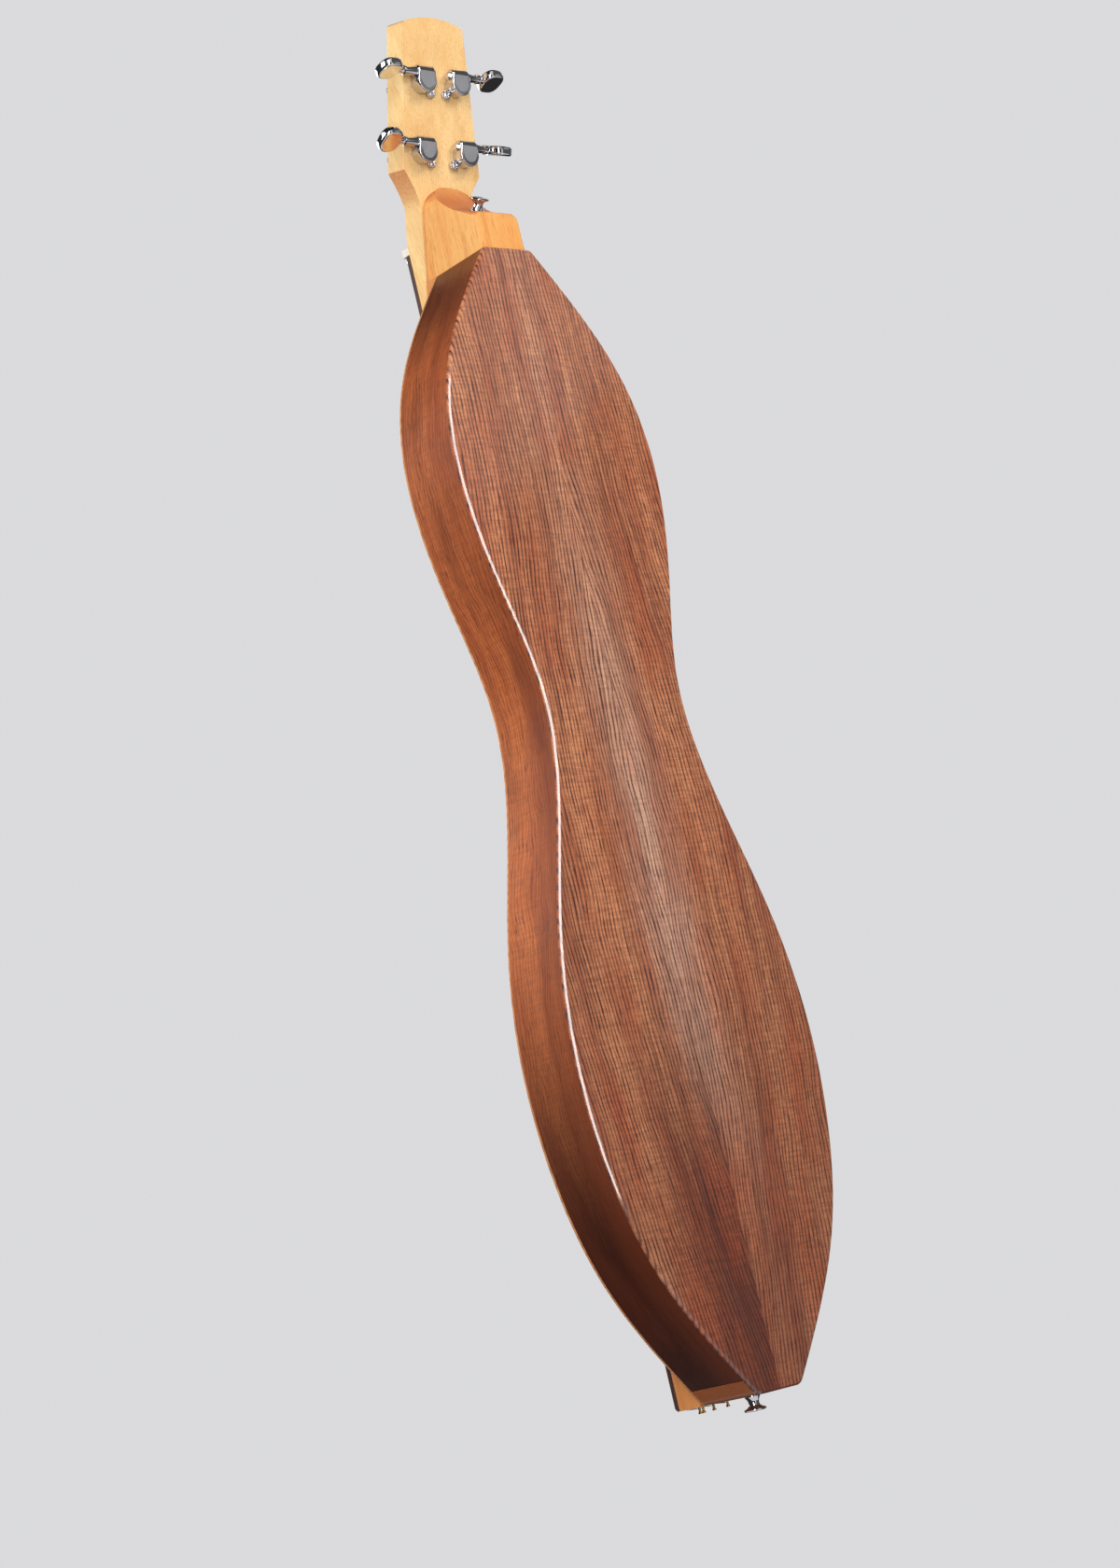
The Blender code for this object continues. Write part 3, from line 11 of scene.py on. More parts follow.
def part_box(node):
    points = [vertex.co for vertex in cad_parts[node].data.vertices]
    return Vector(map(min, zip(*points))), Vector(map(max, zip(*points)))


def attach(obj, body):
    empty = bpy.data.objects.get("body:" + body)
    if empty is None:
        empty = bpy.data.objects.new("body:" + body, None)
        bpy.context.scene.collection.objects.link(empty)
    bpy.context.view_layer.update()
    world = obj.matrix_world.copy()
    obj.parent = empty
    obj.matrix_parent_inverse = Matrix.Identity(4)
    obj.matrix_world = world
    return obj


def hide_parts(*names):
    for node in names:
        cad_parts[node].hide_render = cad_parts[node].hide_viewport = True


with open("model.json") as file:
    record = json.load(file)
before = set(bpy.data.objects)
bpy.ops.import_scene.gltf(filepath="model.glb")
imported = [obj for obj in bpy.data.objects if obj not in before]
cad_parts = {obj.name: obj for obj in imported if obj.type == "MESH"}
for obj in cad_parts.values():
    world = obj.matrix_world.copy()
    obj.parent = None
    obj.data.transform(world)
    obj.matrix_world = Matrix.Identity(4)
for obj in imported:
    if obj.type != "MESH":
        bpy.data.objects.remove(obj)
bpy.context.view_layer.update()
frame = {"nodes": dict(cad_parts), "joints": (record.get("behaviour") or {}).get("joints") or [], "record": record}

# The back is two book-matched walnut plates, glued edge to edge along the
# middle and rounded where they meet the sides. Each is drawn as half of the
# outline, filled, thickened and rounded, and its grain mirrors its partner's.
PLATE_EDGE_RADIUS = 0.0013
PLATE_EDGE_STEPS = 4
PLATE_EDGE_FLATNESS = 0.27
OUTLINE_FINENESS = 5
SHORT_STRETCH = 0.004
NEAR = 0.00005
SAME_POINT = 0.00001
SMOOTH_ANGLE = math.radians(32)


def pick(piece):
    """Makes a piece the only one chosen."""
    bpy.ops.object.select_all(action="DESELECT")
    piece.select_set(True)
    bpy.context.view_layer.objects.active = piece


def open_piece(piece):
    """Opens one piece for editing, with all of it selected."""
    pick(piece)
    bpy.ops.object.mode_set(mode="EDIT")
    bpy.ops.mesh.select_mode(type="VERT")
    bpy.ops.mesh.select_all(action="SELECT")


def close_piece():
    bpy.ops.object.mode_set(mode="OBJECT")


def choose(piece, kind, chosen):
    """Selects, in an open piece, the points, edges or faces whose place passes the test."""
    bpy.ops.mesh.select_mode(type=kind)
    bpy.ops.mesh.select_all(action="DESELECT")
    shape = bmesh.from_edit_mesh(piece.data)
    if kind == "VERT":
        picked = [point for point in shape.verts if chosen(point.co)]
    elif kind == "EDGE":
        picked = [edge for edge in shape.edges if chosen((edge.verts[0].co + edge.verts[1].co) / 2)]
    else:
        picked = [face for face in shape.faces if chosen(face.calc_center_median(), face.normal)]
    for part in picked:
        part.select_set(True)
    bmesh.update_edit_mesh(piece.data)


def heal_normals():
    """Joins doubled points of the open piece and turns its faces outwards."""
    bpy.ops.mesh.select_all(action="SELECT")
    bpy.ops.mesh.remove_doubles(threshold=SAME_POINT)
    bpy.ops.mesh.normals_make_consistent(inside=False)


def modify(piece, label, kind, **settings):
    """Works one modifier into the piece's own mesh."""
    pick(piece)
    modifier = piece.modifiers.new(label, kind)
    for name, setting in settings.items():
        setattr(modifier, name, setting)
    bpy.ops.object.modifier_apply(modifier=label)
    return piece


def rim_points(node, height):
    """The rim of one half of a plate at a height, from the head end to the tail end."""
    low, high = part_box(node)
    side = 1 if high.y > -low.y else -1
    rim = {}
    for vertex in frame["nodes"][node].data.vertices:
        if abs(vertex.co.z - height) < NEAR and vertex.co.y * side > 2 * SHORT_STRETCH:
            rim[(round(vertex.co.x, 5), round(vertex.co.y, 5))] = vertex.co.copy()
    middle = Vector(((low.x + high.x) / 2, 0, height))
    return side, sorted(rim.values(), key=lambda co: -(co - middle).xy.angle_signed(Vector((-1, 0))) * side)


def draw_line(name, points, smooth=True):
    """A line through the points: smooth, but straight where a long stretch meets a tight corner."""
    bpy.ops.object.select_all(action="DESELECT")
    bpy.ops.curve.primitive_bezier_curve_add(location=(0, 0, 0))
    line = bpy.context.object
    line.name = name
    spline = line.data.splines[0]
    spline.resolution_u = OUTLINE_FINENESS if smooth else 1
    spline.bezier_points.add(len(points) - 2)
    stretches = [(b - a).length for a, b in zip(points, points[1:])]
    for index, (knot, point) in enumerate(zip(spline.bezier_points, points)):
        before = stretches[max(index - 1, 0)]
        after = stretches[min(index, len(stretches) - 1)]
        knot.co = point
        knot.handle_left_type = "VECTOR" if after < SHORT_STRETCH < before or not smooth else "AUTO"
        knot.handle_right_type = "VECTOR" if before < SHORT_STRETCH < after or not smooth else "AUTO"
    bpy.ops.object.convert(target="MESH")
    return line


def thicken(outline, rise):
    """Fills an outline, pulls it up into a plate and leaves the plate open for editing."""
    open_piece(outline)
    bpy.ops.mesh.remove_doubles(threshold=NEAR)
    bpy.ops.mesh.edge_face_add()
    bpy.ops.mesh.extrude_region_move(TRANSFORM_OT_translate={"value": (0, 0, rise)})
    heal_normals()


def set_material(piece, material):
    piece.data.materials.clear()
    piece.data.materials.append(material)


def dress(piece, material, body, slot, *nodes):
    """Finishes a piece: its material, the body it rides on and the solids it stands for."""
    set_material(piece, material)
    pick(piece)
    bpy.ops.object.shade_smooth_by_angle(angle=SMOOTH_ANGLE)
    modify(piece, "flat faces stay flat", "WEIGHTED_NORMAL", keep_sharp=True)
    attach(piece, body)
    if nodes:
        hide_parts(*nodes)
    return piece


def back_plate(node):
    """One half of the back, cut along the seam."""
    low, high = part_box(node)
    rim = rim_points(node, high.z)[1]
    plate = draw_line(node + "_plate", [Vector((low.x, 0, high.z))] + rim + [Vector((high.x, 0, high.z))])
    thicken(plate, low.z - high.z)
    choose(plate, "EDGE", lambda middle: middle.z < low.z + NEAR and abs(middle.y) > NEAR)
    bpy.ops.mesh.bevel(offset=PLATE_EDGE_RADIUS, segments=PLATE_EDGE_STEPS, profile=PLATE_EDGE_FLATNESS,
                       affect="EDGES")
    close_piece()
    return plate


def tint(red, green, blue):
    """A colour as it looks on a screen, from 0 to 255, in the renderer's own values."""
    shares = (value / 255 for value in (red, green, blue))
    return tuple(((s + 0.055) / 1.055) ** 2.4 if s > 0.04045 else s / 12.92 for s in shares) + (1.0,)


class Bench:
    """Puts nodes on one node tree and wires them, so that a recipe reads as a list of steps."""

    def __init__(self, tree):
        self.tree = tree

    def feed(self, socket, value):
        if isinstance(value, bpy.types.NodeSocket):
            self.tree.links.new(value, socket)
        else:
            socket.default_value = value

    def node(self, kind, *values, **settings):
        """A node with its settings, its first sockets fed in order."""
        node = self.tree.nodes.new("ShaderNode" + kind)
        for name, setting in settings.items():
            setattr(node, name, setting)
        for socket, value in zip(node.inputs, values):
            self.feed(socket, value)
        return node

    def dial(self, node, values):
        """Feeds a node's sockets by name."""
        for name, value in values.items():
            self.feed(node.inputs[name], value)
        return node.outputs

    def here(self):
        """The place on the piece, in metres."""
        return self.node("TexCoord").outputs["Object"]

    def mapped(self, point, **values):
        """A point that is turned or scaled."""
        return self.dial(self.node("Mapping", point), values)["Vector"]

    def math(self, operation, *values):
        return self.node("Math", *values, operation=operation).outputs["Value"]

    def times(self, value, *others):
        for other in others:
            value = self.math("MULTIPLY", value, other)
        return value

    def spread(self, value, low, high, to_low=0.0, to_high=1.0, smooth=False):
        """A value's stretch from low to high, laid out from to_low to to_high and held at its ends."""
        way = "SMOOTHSTEP" if smooth else "LINEAR"
        node = self.node("MapRange", value, low, high, to_low, to_high, interpolation_type=way)
        return node.outputs["Result"]

    def noise(self, point, per_metre, detail=3.0, roughness=0.5):
        """A cloudy value with so many clouds to the metre along each axis."""
        texture = self.node("TexNoise", self.mapped(point, Scale=per_metre))
        return self.dial(texture, {"Scale": 1.0, "Detail": detail, "Roughness": roughness})["Fac"]

    def mix(self, share, first, second, way="MIX"):
        node = self.node("Mix", share, data_type="RGBA", blend_type=way)
        colours = [socket for socket in node.inputs if socket.type == "RGBA"]
        self.feed(colours[0], first)
        self.feed(colours[1], second)
        return next(socket for socket in node.outputs if socket.type == "RGBA")

    def point(self, x, y, z):
        return self.node("CombineXYZ", x, y, z).outputs["Vector"]

    def parts(self, vector):
        return self.node("SeparateXYZ", vector).outputs

    def relief(self, height, distance):
        return self.dial(self.node("Bump"), {"Distance": distance, "Height": height})["Normal"]


def group_of(name, **inputs):
    """A node group with inputs of each kind, which puts out what a surface needs, and a bench to fill it."""
    group = bpy.data.node_groups.new(name, "ShaderNodeTree")
    for kind, labels in inputs.items():
        for label in labels:
            group.interface.new_socket(label, in_out="INPUT", socket_type="NodeSocket" + kind)
    for label, kind in (("Color", "Color"), ("Roughness", "Float"), ("Height", "Float")):
        group.interface.new_socket(label, in_out="OUTPUT", socket_type="NodeSocket" + kind)
    given = group.nodes.new("NodeGroupInput").outputs
    made = group.nodes.new("NodeGroupOutput").inputs
    return group, Bench(group), given, made


def wood_figure():
    """Wood from a point whose x runs along the grain: bands, fibres, year rings, pores and a ripple."""
    group, bench, given, made = group_of(
        "wood_figure", Vector=["Point"], Color=["Light", "Dark", "Line", "Warm"],
        Float=["Warm share", "Line share", "Rings per metre", "Ring share", "Pore share", "Ripple share",
               "Smoothest", "Roughest"])
    place = given["Point"]
    bands = bench.spread(bench.noise(place, (4, 75, 75)), 0.36, 0.64)
    fibres = bench.spread(bench.noise(place, (16, 560, 560), 5, 0.7), 0.36, 0.64)
    line_field = bench.math("SUBTRACT", bench.noise(place, (3.2, 120, 120), 2, 0.45), 0.5)
    lines = bench.spread(bench.math("ABSOLUTE", line_field), 0.028, 0.0)
    broken = bench.spread(bench.noise(place, (25, 240, 240)), 0.4, 0.6)
    drift = bench.times(bench.noise(place, (6, 50, 50), 4, 0.6), 18.0)
    turns = bench.times(bench.parts(place)["Y"], bench.times(given["Rings per metre"], math.tau))
    wave = bench.math("SINE", bench.math("ADD", turns, drift))
    dashes = bench.spread(bench.noise(place, (70, 800, 800), 4, 0.7), 0.36, 0.6, 0.3, 1.0)
    rings = bench.times(bench.spread(wave, -0.3, 0.9), dashes)
    pores = bench.spread(bench.noise(place, (120, 1300, 1300), 2), 0.57, 0.69)
    ripple = bench.spread(bench.noise(place, (620, 75, 75), 3, 0.6), 0.38, 0.62)
    warm = bench.spread(bench.noise(place, (9, 34, 34), 3, 0.6), 0.44, 0.66)
    specks = bench.times(pores, given["Pore share"])
    colour = bench.mix(bands, given["Dark"], given["Light"])
    for share, label in ((bench.times(fibres, 0.45), "Light"),
                         (bench.times(warm, given["Warm share"]), "Warm"),
                         (bench.times(ripple, given["Ripple share"]), "Dark"),
                         (bench.times(rings, given["Ring share"]), "Line"),
                         (bench.times(lines, broken, given["Line share"]), "Line"), (specks, "Line")):
        colour = bench.mix(share, colour, given[label])
    bench.feed(made["Color"], colour)
    bench.feed(made["Roughness"], bench.spread(fibres, 0.0, 1.0, given["Smoothest"], given["Roughest"]))
    bench.feed(made["Height"], bench.math("SUBTRACT", bench.times(fibres, 0.4), specks))
    return group


WOOD_FIGURE = wood_figure()


def new_material(name):
    """A material with its shader and a bench for its nodes."""
    material = bpy.data.materials.new(name)
    material.use_nodes = True
    return material, material.node_tree.nodes["Principled BSDF"], Bench(material.node_tree)


def figure(bench, point, **values):
    """The wood figure at a point, with its colours and shares."""
    node = bench.node("Group", point, node_tree=WOOD_FIGURE)
    return bench.dial(node, {label.replace("_", " ").capitalize(): value for label, value in values.items()})


def surface(shader, bench, colour, made, depth):
    """Feeds the shader a colour, and the roughness and relief that a group made."""
    relief = bench.relief(made["Height"], depth)
    bench.dial(shader, {"Base Color": colour, "Roughness": made["Roughness"], "Normal": relief})


def varnish(shader, weight, roughness, refraction=1.5):
    """A clear coat of one gloss all over, which seals the wood below it."""
    shader.inputs["Specular IOR Level"].default_value = 0.2
    shader.inputs["Coat IOR"].default_value = refraction
    shader.inputs["Coat Weight"].default_value = weight
    shader.inputs["Coat Roughness"].default_value = roughness


# The walnut of the back was sawn open like a book, so its ring lines bow away
# from the seam in the middle and close on it towards the tail, under a satin
# varnish. A painted sheen lights it up along the seam, painted shade darkens it
# towards the tail, and a ripple runs across the grain.
GRAIN_STRAIGHT_TO = 0.15
GRAIN_BEND = 0.08
GRAIN_MIDDLE = 0.385
GRAIN_BOW = 0.29
BODY_HEAD_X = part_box("back_left")[0].x


def walnut_back():
    material, shader, bench = new_material("walnut_back")
    here = bench.here()
    parts = bench.parts(here)
    along = bench.math("SUBTRACT", parts["X"], BODY_HEAD_X)
    bent = bench.math("SMOOTH_MAX", along, GRAIN_STRAIGHT_TO, GRAIN_BEND)
    held = bench.math("SUBTRACT", bent, GRAIN_MIDDLE)
    bow = bench.times(held, held, GRAIN_BOW)
    off_seam = bench.math("ABSOLUTE", parts["Y"])
    wander = bench.times(bench.math("SUBTRACT", bench.noise(here, (9, 14, 9), 2), 0.5), 0.012)
    across = bench.math("ADD", bench.math("ADD", off_seam, bow), wander)
    half = bench.times(bench.math("GREATER_THAN", parts["Y"], 0.0), 0.003)
    # A painted sheen follows the seam in the middle and slips to the bass side at the tail
    slip = bench.spread(along, 0.46, 0.66, 0.0, 0.024, smooth=True)
    from_band = bench.math("ABSOLUTE", bench.math("ADD", parts["Y"], slip))
    painted_sheen_band = bench.spread(from_band, 0.036, 0.002, smooth=True)
    rise = bench.spread(along, 0.1, 0.42, 0.25, 1.0, smooth=True)
    fall = bench.spread(along, 0.46, 0.62, 1.0, 0.15, smooth=True)
    painted_sheen = bench.times(painted_sheen_band, rise, fall, 0.75)
    light = bench.mix(painted_sheen, tint(222, 148, 103), tint(234, 194, 168))
    dark = bench.mix(painted_sheen, tint(152, 84, 57), tint(186, 138, 114))
    # Painted shade darkens a band beside the seam at the tail, on the melody side
    shade_side = bench.spread(parts["Y"], -0.001, 0.001)
    shade_near = bench.spread(parts["Y"], 0.1, 0.01, smooth=True)
    shade_tail = bench.spread(along, 0.4, 0.64, 0.0, 0.9, smooth=True)
    shade = bench.times(shade_side, shade_near, shade_tail)
    # Painted shade darkens the whole back towards the tail
    end_shade = bench.spread(along, 0.34, 0.68, 0.0, 0.4, smooth=True)
    shade = bench.math("MAXIMUM", shade, end_shade)
    light = bench.mix(shade, light, tint(118, 62, 44))
    dark = bench.mix(shade, dark, tint(86, 42, 32))
    made = figure(bench, bench.point(along, across, half), light=light, dark=dark, line=tint(64, 32, 32),
                  warm=tint(182, 84, 46), warm_share=0.55, line_share=0.5, rings_per_metre=370.0,
                  ring_share=0.95, pore_share=0.6, ripple_share=0.5, smoothest=0.38, roughest=0.6)
    surface(shader, bench, made["Color"], made, depth=0.00006)
    varnish(shader, weight=1.0, roughness=0.12, refraction=1.7)
    return material


WALNUT_BACK = walnut_back()
for node in ("back_left", "back_right"):
    dress(back_plate(node), WALNUT_BACK, "body", "walnut_back", node)

# The sides are thin walnut strips, bent over a hot iron and glued between the
# back and the soundboard. Each follows the rim from the heel round both bouts.
SIDE_THICKNESS = 0.0022


def bent_side(node, plate_node):
    """One strip, drawn along the rim, raised to the soundboard and thickened inwards."""
    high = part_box(node)[1]
    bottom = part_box(plate_node)[1].z
    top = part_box("soundboard")[0].z
    side, rim = rim_points(plate_node, bottom)
    strip = draw_line(node + "_strip", rim)
    open_piece(strip)
    bpy.ops.mesh.remove_doubles(threshold=NEAR)
    bpy.ops.mesh.extrude_region_move(TRANSFORM_OT_translate={"value": (0, 0, top - bottom)})
    bpy.ops.mesh.select_all(action="SELECT")
    bpy.ops.mesh.bisect(plane_co=(high.x, 0, 0), plane_no=(1, 0, 0), clear_outer=True)
    close_piece()
    if sum(face.normal.y * side for face in strip.data.polygons) < 0:
        strip.data.flip_normals()
    return modify(strip, "wall", "SOLIDIFY", thickness=SIDE_THICKNESS, offset=-1)


def walnut_side():
    material, shader, bench = new_material("walnut_side")
    here = bench.here()
    parts = bench.parts(here)
    along = bench.math("SUBTRACT", parts["X"], BODY_HEAD_X)
    wander = bench.times(bench.noise(here, (11, 3, 20), 3, 0.6), 0.02)
    across = bench.math("ADD", parts["Z"], wander)
    made = figure(bench, bench.point(along, across, bench.times(parts["Y"], 0.05)),
                  light=tint(206, 114, 60), dark=tint(148, 74, 40), line=tint(62, 28, 20),
                  warm=tint(168, 74, 34), warm_share=0.35, line_share=0.25, rings_per_metre=420.0,
                  ring_share=0.45, pore_share=0.65, ripple_share=0.35, smoothest=0.3, roughest=0.46)
    clouds = bench.spread(bench.noise(here, (14, 14, 40), 3), 0.46, 0.7, 0.0, 0.55)
    # The strip is darker towards the heel, and painted shade darkens it towards the tail
    heel_end = bench.spread(along, 0.08, 0.02, 0.0, 0.75, smooth=True)
    painted_tail_shade = bench.spread(along, 0.4, 0.62, 0.0, 0.95, smooth=True)
    colour = bench.mix(bench.math("MAXIMUM", heel_end, painted_tail_shade), made["Color"], tint(48, 20, 14))
    colour = bench.mix(clouds, colour, tint(98, 44, 26))
    low_edge = bench.spread(across, 0.042, 0.012, 0.0, 0.45, smooth=True)
    surface(shader, bench, bench.mix(low_edge, colour, tint(122, 56, 30)), made, depth=0.00004)
    varnish(shader, weight=0.4, roughness=0.16)
    return material


WALNUT_SIDE = walnut_side()
for node, plate_node in (("side_left", "back_left"), ("side_right", "back_right")):
    dress(bent_side(node, plate_node), WALNUT_SIDE, "body", "walnut_side", node)

# The head block of cherry is glued between the sides and stands out of the
# body as the heel. Its end is scooped with a round cutter to seat the hand, so
# the scoop shows end grain, darkened further with painted shade, and its back corners are rounded over.
GLUE_GAP = 0.0003
FLAT_WITHIN = math.radians(0.3)
END_GRAIN_AND_SHADE_START = 0.12
END_GRAIN_AND_SHADE_FULL = 0.7


def set_down(name, data):
    """Puts a mesh, lamp or lens into the scene as an object."""
    thing = bpy.data.objects.new(name, data)
    bpy.context.scene.collection.objects.link(thing)
    return thing


def copied_solid(node, name):
    """A copy of a solid with its triangles joined into whole faces."""
    piece = set_down(name, frame["nodes"][node].data.copy())
    open_piece(piece)
    bpy.ops.mesh.customdata_custom_splitnormals_clear()
    heal_normals()
    bpy.ops.mesh.dissolve_limited(angle_limit=FLAT_WITHIN)
    close_piece()
    return piece


def shift_points(piece, chosen, move):
    """Moves the points that pass the test, such as a glued face over the gap that it leaves."""
    open_piece(piece)
    choose(piece, "VERT", chosen)
    bpy.ops.transform.translate(value=move)
    close_piece()


def cherry(name, light, dark, end, streak, streak_share=0.4, lean=0.0):
    """Fine-pored cherry with a few darker streaks, and darker still where the end grain shows, partly its own
    colour and partly painted shade.
    """
    material, shader, bench = new_material(name)
    here = bench.mapped(bench.here(), Rotation=(0, lean, 0))
    made = figure(bench, here, light=light, dark=dark, line=streak, warm=streak, warm_share=0.25,
                  line_share=0.25, rings_per_metre=520.0, ring_share=0.25, pore_share=0.55, ripple_share=0.25,
                  smoothest=0.28, roughest=0.42)
    streaks = bench.spread(bench.noise(here, (5, 60, 60), 3, 0.6), 0.54, 0.7, 0.0, streak_share)
    colour = bench.mix(streaks, made["Color"], streak)
    # Faces turned towards the grain's ends darken, as end grain and as painted shade
    facing = bench.math("ABSOLUTE", bench.parts(bench.node("TexCoord").outputs["Normal"])["X"])
    end_grain_and_shade = bench.spread(facing, END_GRAIN_AND_SHADE_START, END_GRAIN_AND_SHADE_FULL, smooth=True)
    specks = bench.spread(bench.noise(here, (900, 900, 900), 3), 0.4, 0.6, 0.75, 1.0)
    colour = bench.mix(bench.times(end_grain_and_shade, specks), colour, end)
    surface(shader, bench, colour, made, depth=0.00002)
    varnish(shader, weight=0.2, roughness=0.2)
    return material


heel = copied_solid("head_block", "heel_and_head_block")
shift_points(heel, lambda co: abs(co.x - BODY_HEAD_X + GLUE_GAP) < NEAR, (GLUE_GAP, 0, 0))
CHERRY_HEEL = cherry("cherry_heel", tint(242, 188, 112), tint(232, 162, 88), tint(186, 98, 56),
                     tint(206, 118, 56), streak_share=0.7)
dress(heel, CHERRY_HEEL, "body", "cherry_heel", "head_block")

# The tail block closes the sides at the other end. Its rounded cap runs out to
# the edges of both plates.
CHERRY_TAIL = cherry("cherry_tail", tint(206, 130, 74), tint(184, 108, 60), tint(150, 82, 46),
                     tint(140, 76, 42))
tail = copied_solid("tail_block", "tail_block_and_cap")
TAIL_LOW, TAIL_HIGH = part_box("tail_block")
shift_points(tail, lambda co: abs(co.z - TAIL_LOW.z) < NEAR, (0, 0, -GLUE_GAP))
shift_points(tail, lambda co: abs(co.z - TAIL_HIGH.z) < NEAR, (0, 0, GLUE_GAP))
dress(tail, CHERRY_TAIL, "body", "cherry_tail", "tail_block")


# Strips of basswood line the joints between the sides and the plates, and bars
# of spruce brace both plates from side to side. None of them is varnished.
def bare_wood(name, light, dark, line, turned_across=False):
    material, shader, bench = new_material(name)
    here = bench.mapped(bench.here(), Rotation=(0, 0, math.pi / 2 if turned_across else 0))
    made = figure(bench, here, light=light, dark=dark, line=line, warm=dark, warm_share=0.2, line_share=0.5,
                  rings_per_metre=500.0, ring_share=0.2, pore_share=0.1, ripple_share=0.05, smoothest=0.6,
                  roughest=0.8)
    surface(shader, bench, made["Color"], made, depth=0.00005)
    return material


def refinish(material, *nodes):
    """Gives solids that keep their shape their real finish."""
    for node in nodes:
        set_material(frame["nodes"][node], material)


BASSWOOD = bare_wood("basswood_lining", tint(222, 194, 150), tint(206, 174, 128), tint(180, 144, 98))
SPRUCE = bare_wood("spruce_brace", tint(226, 200, 154), tint(214, 182, 132), tint(176, 134, 84),
                   turned_across=True)
refinish(BASSWOOD, "back_lining_left", "back_lining_right", "top_lining_left", "top_lining_right")
refinish(SPRUCE, "back_brace_1", "back_brace_2", "back_brace_3", "top_brace_1", "top_brace_2")

# The soundboard is one cedar plate with four heart-shaped holes, sawn out and
# eased by hand. Its straight fine lines run the length of the body.
HEART_WIDTH = 0.024
HEART_STEPS = 60
HEART_SHARES = (0.23, 0.73)
HEART_MIDDLES = (0.05, 0.0575)
HEART_CURVE_UNITS = 32
STRAIGHT_UP = 0.99


def carve(piece, tool, operation="DIFFERENCE"):
    """Cuts a tool's shape out of a piece, or joins it on, and puts the tool away."""
    modify(piece, "cut", "BOOLEAN", object=tool, operation=operation)
    bpy.data.objects.remove(tool, do_unlink=True)
    return piece


def raised(name, outline, low, high):
    """A block that stands on a drawn outline of (x, y) pairs."""
    block = draw_line(name, [Vector((x, y, low)) for x, y in outline + outline[:1]], smooth=False)
    thicken(block, high - low)
    close_piece()
    return block


def heart_saw(x, y, low, high):
    """The shape of one hole, its point towards the tail."""
    unit = HEART_WIDTH / HEART_CURVE_UNITS
    outline = []
    for step in range(HEART_STEPS):
        t = math.tau * step / HEART_STEPS
        lobe = 13 * math.cos(t) - 5 * math.cos(2 * t) - 2 * math.cos(3 * t) - math.cos(4 * t)
        outline.append((x - unit * lobe, y + unit * 16 * math.sin(t) ** 3))
    return raised("heart_saw", outline, low, high)


def soundboard():
    low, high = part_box("soundboard")
    ends = [Vector((low.x, 0, low.z)), Vector((high.x, 0, low.z))]
    halves = []
    for node in ("back_left", "back_right"):
        rim = [Vector((point.x, point.y, low.z)) for point in rim_points(node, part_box(node)[1].z)[1]]
        halves.append(draw_line("soundboard_plate", ends[:1] + rim + ends[1:]))
    plate, other = halves
    pick(plate)
    other.select_set(True)
    bpy.ops.object.join()
    thicken(plate, high.z - low.z)
    choose(plate, "EDGE", lambda co: co.z > high.z - NEAR)
    bpy.ops.mesh.bevel(offset=PLATE_EDGE_RADIUS, segments=PLATE_EDGE_STEPS, affect="EDGES")
    across = [low.x + share * (high.x - low.x) for share in HEART_SHARES]
    # Straight cuts through each heart's middle keep every face a simple shape
    cuts = [((x, 0, 0), (1, 0, 0)) for x in across]
    cuts += [((0, side * middle, 0), (0, 1, 0)) for middle in HEART_MIDDLES for side in (1, -1)]
    for place, direction in cuts:
        bpy.ops.mesh.select_all(action="SELECT")
        bpy.ops.mesh.bisect(plane_co=place, plane_no=direction)
    close_piece()
    for x, middle in zip(across, HEART_MIDDLES):
        for side in (1, -1):
            carve(plate, heart_saw(x, side * middle, low.z - HEART_WIDTH, high.z + HEART_WIDTH))
    return plate


def cedar():
    material, shader, bench = new_material("cedar_soundboard")
    made = figure(bench, bench.here(), light=tint(214, 150, 98), dark=tint(198, 130, 80),
                  line=tint(150, 86, 48), warm=tint(190, 112, 66), warm_share=0.35, line_share=0.2,
                  rings_per_metre=570.0, ring_share=0.6, pore_share=0.05, ripple_share=0.15, smoothest=0.4,
                  roughest=0.55)
    surface(shader, bench, made["Color"], made, depth=0.00003)
    varnish(shader, weight=0.3, roughness=0.25)
    return material


# Nothing is smoothed across the board's wide flat faces round the hearts
board_with_hearts = dress(soundboard(), cedar(), "body", "cedar_soundboard", "soundboard")
for face in board_with_hearts.data.polygons:
    if abs(face.normal.z) > STRAIGHT_UP:
        face.use_smooth = False

# The fretboard is a cherry beam glued along the soundboard's middle, hollowed
# near the tail to leave room for the pick. Its long edges are eased.
BEAM_EDGE = 0.0006


def soften(piece, width, steps=3, angle=40):
    """Eases the piece's sharp edges, as sandpaper does."""
    return modify(piece, "eased edges", "BEVEL", width=width, segments=steps, limit_method="ANGLE",
                  angle_limit=math.radians(angle))


def glued_down(node, name, edge, angle=40):
    """A copy of a solid with eased edges, whose foot reaches down to what it is glued on."""
    piece = copied_solid(node, name)
    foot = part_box(node)[0].z
    shift_points(piece, lambda co: co.z < foot + NEAR, (0, 0, -GLUE_GAP))
    return soften(piece, edge, angle=angle)


beam = glued_down("fretboard", "fretboard_beam", BEAM_EDGE, angle=50)
CHERRY_BEAM = cherry("cherry_fretboard", tint(226, 158, 96), tint(208, 138, 78), tint(160, 90, 52),
                     tint(186, 108, 56))
dress(beam, CHERRY_BEAM, "body", "cherry_fretboard", "fretboard")

# The fingerboard is a strip of dark oiled wood on the beam, with a nickel wire
# pressed into a sawn slot for each fret. The fret wires have a round crown.
BOARD_LOW, BOARD_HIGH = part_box("fingerboard")
STRIP_EDGE = 0.0004
FRET_HEIGHT = 0.001
FRET_WIDTH = 0.002
FRET_STEPS = 20
FRET_END_SLOPE = 0.0009


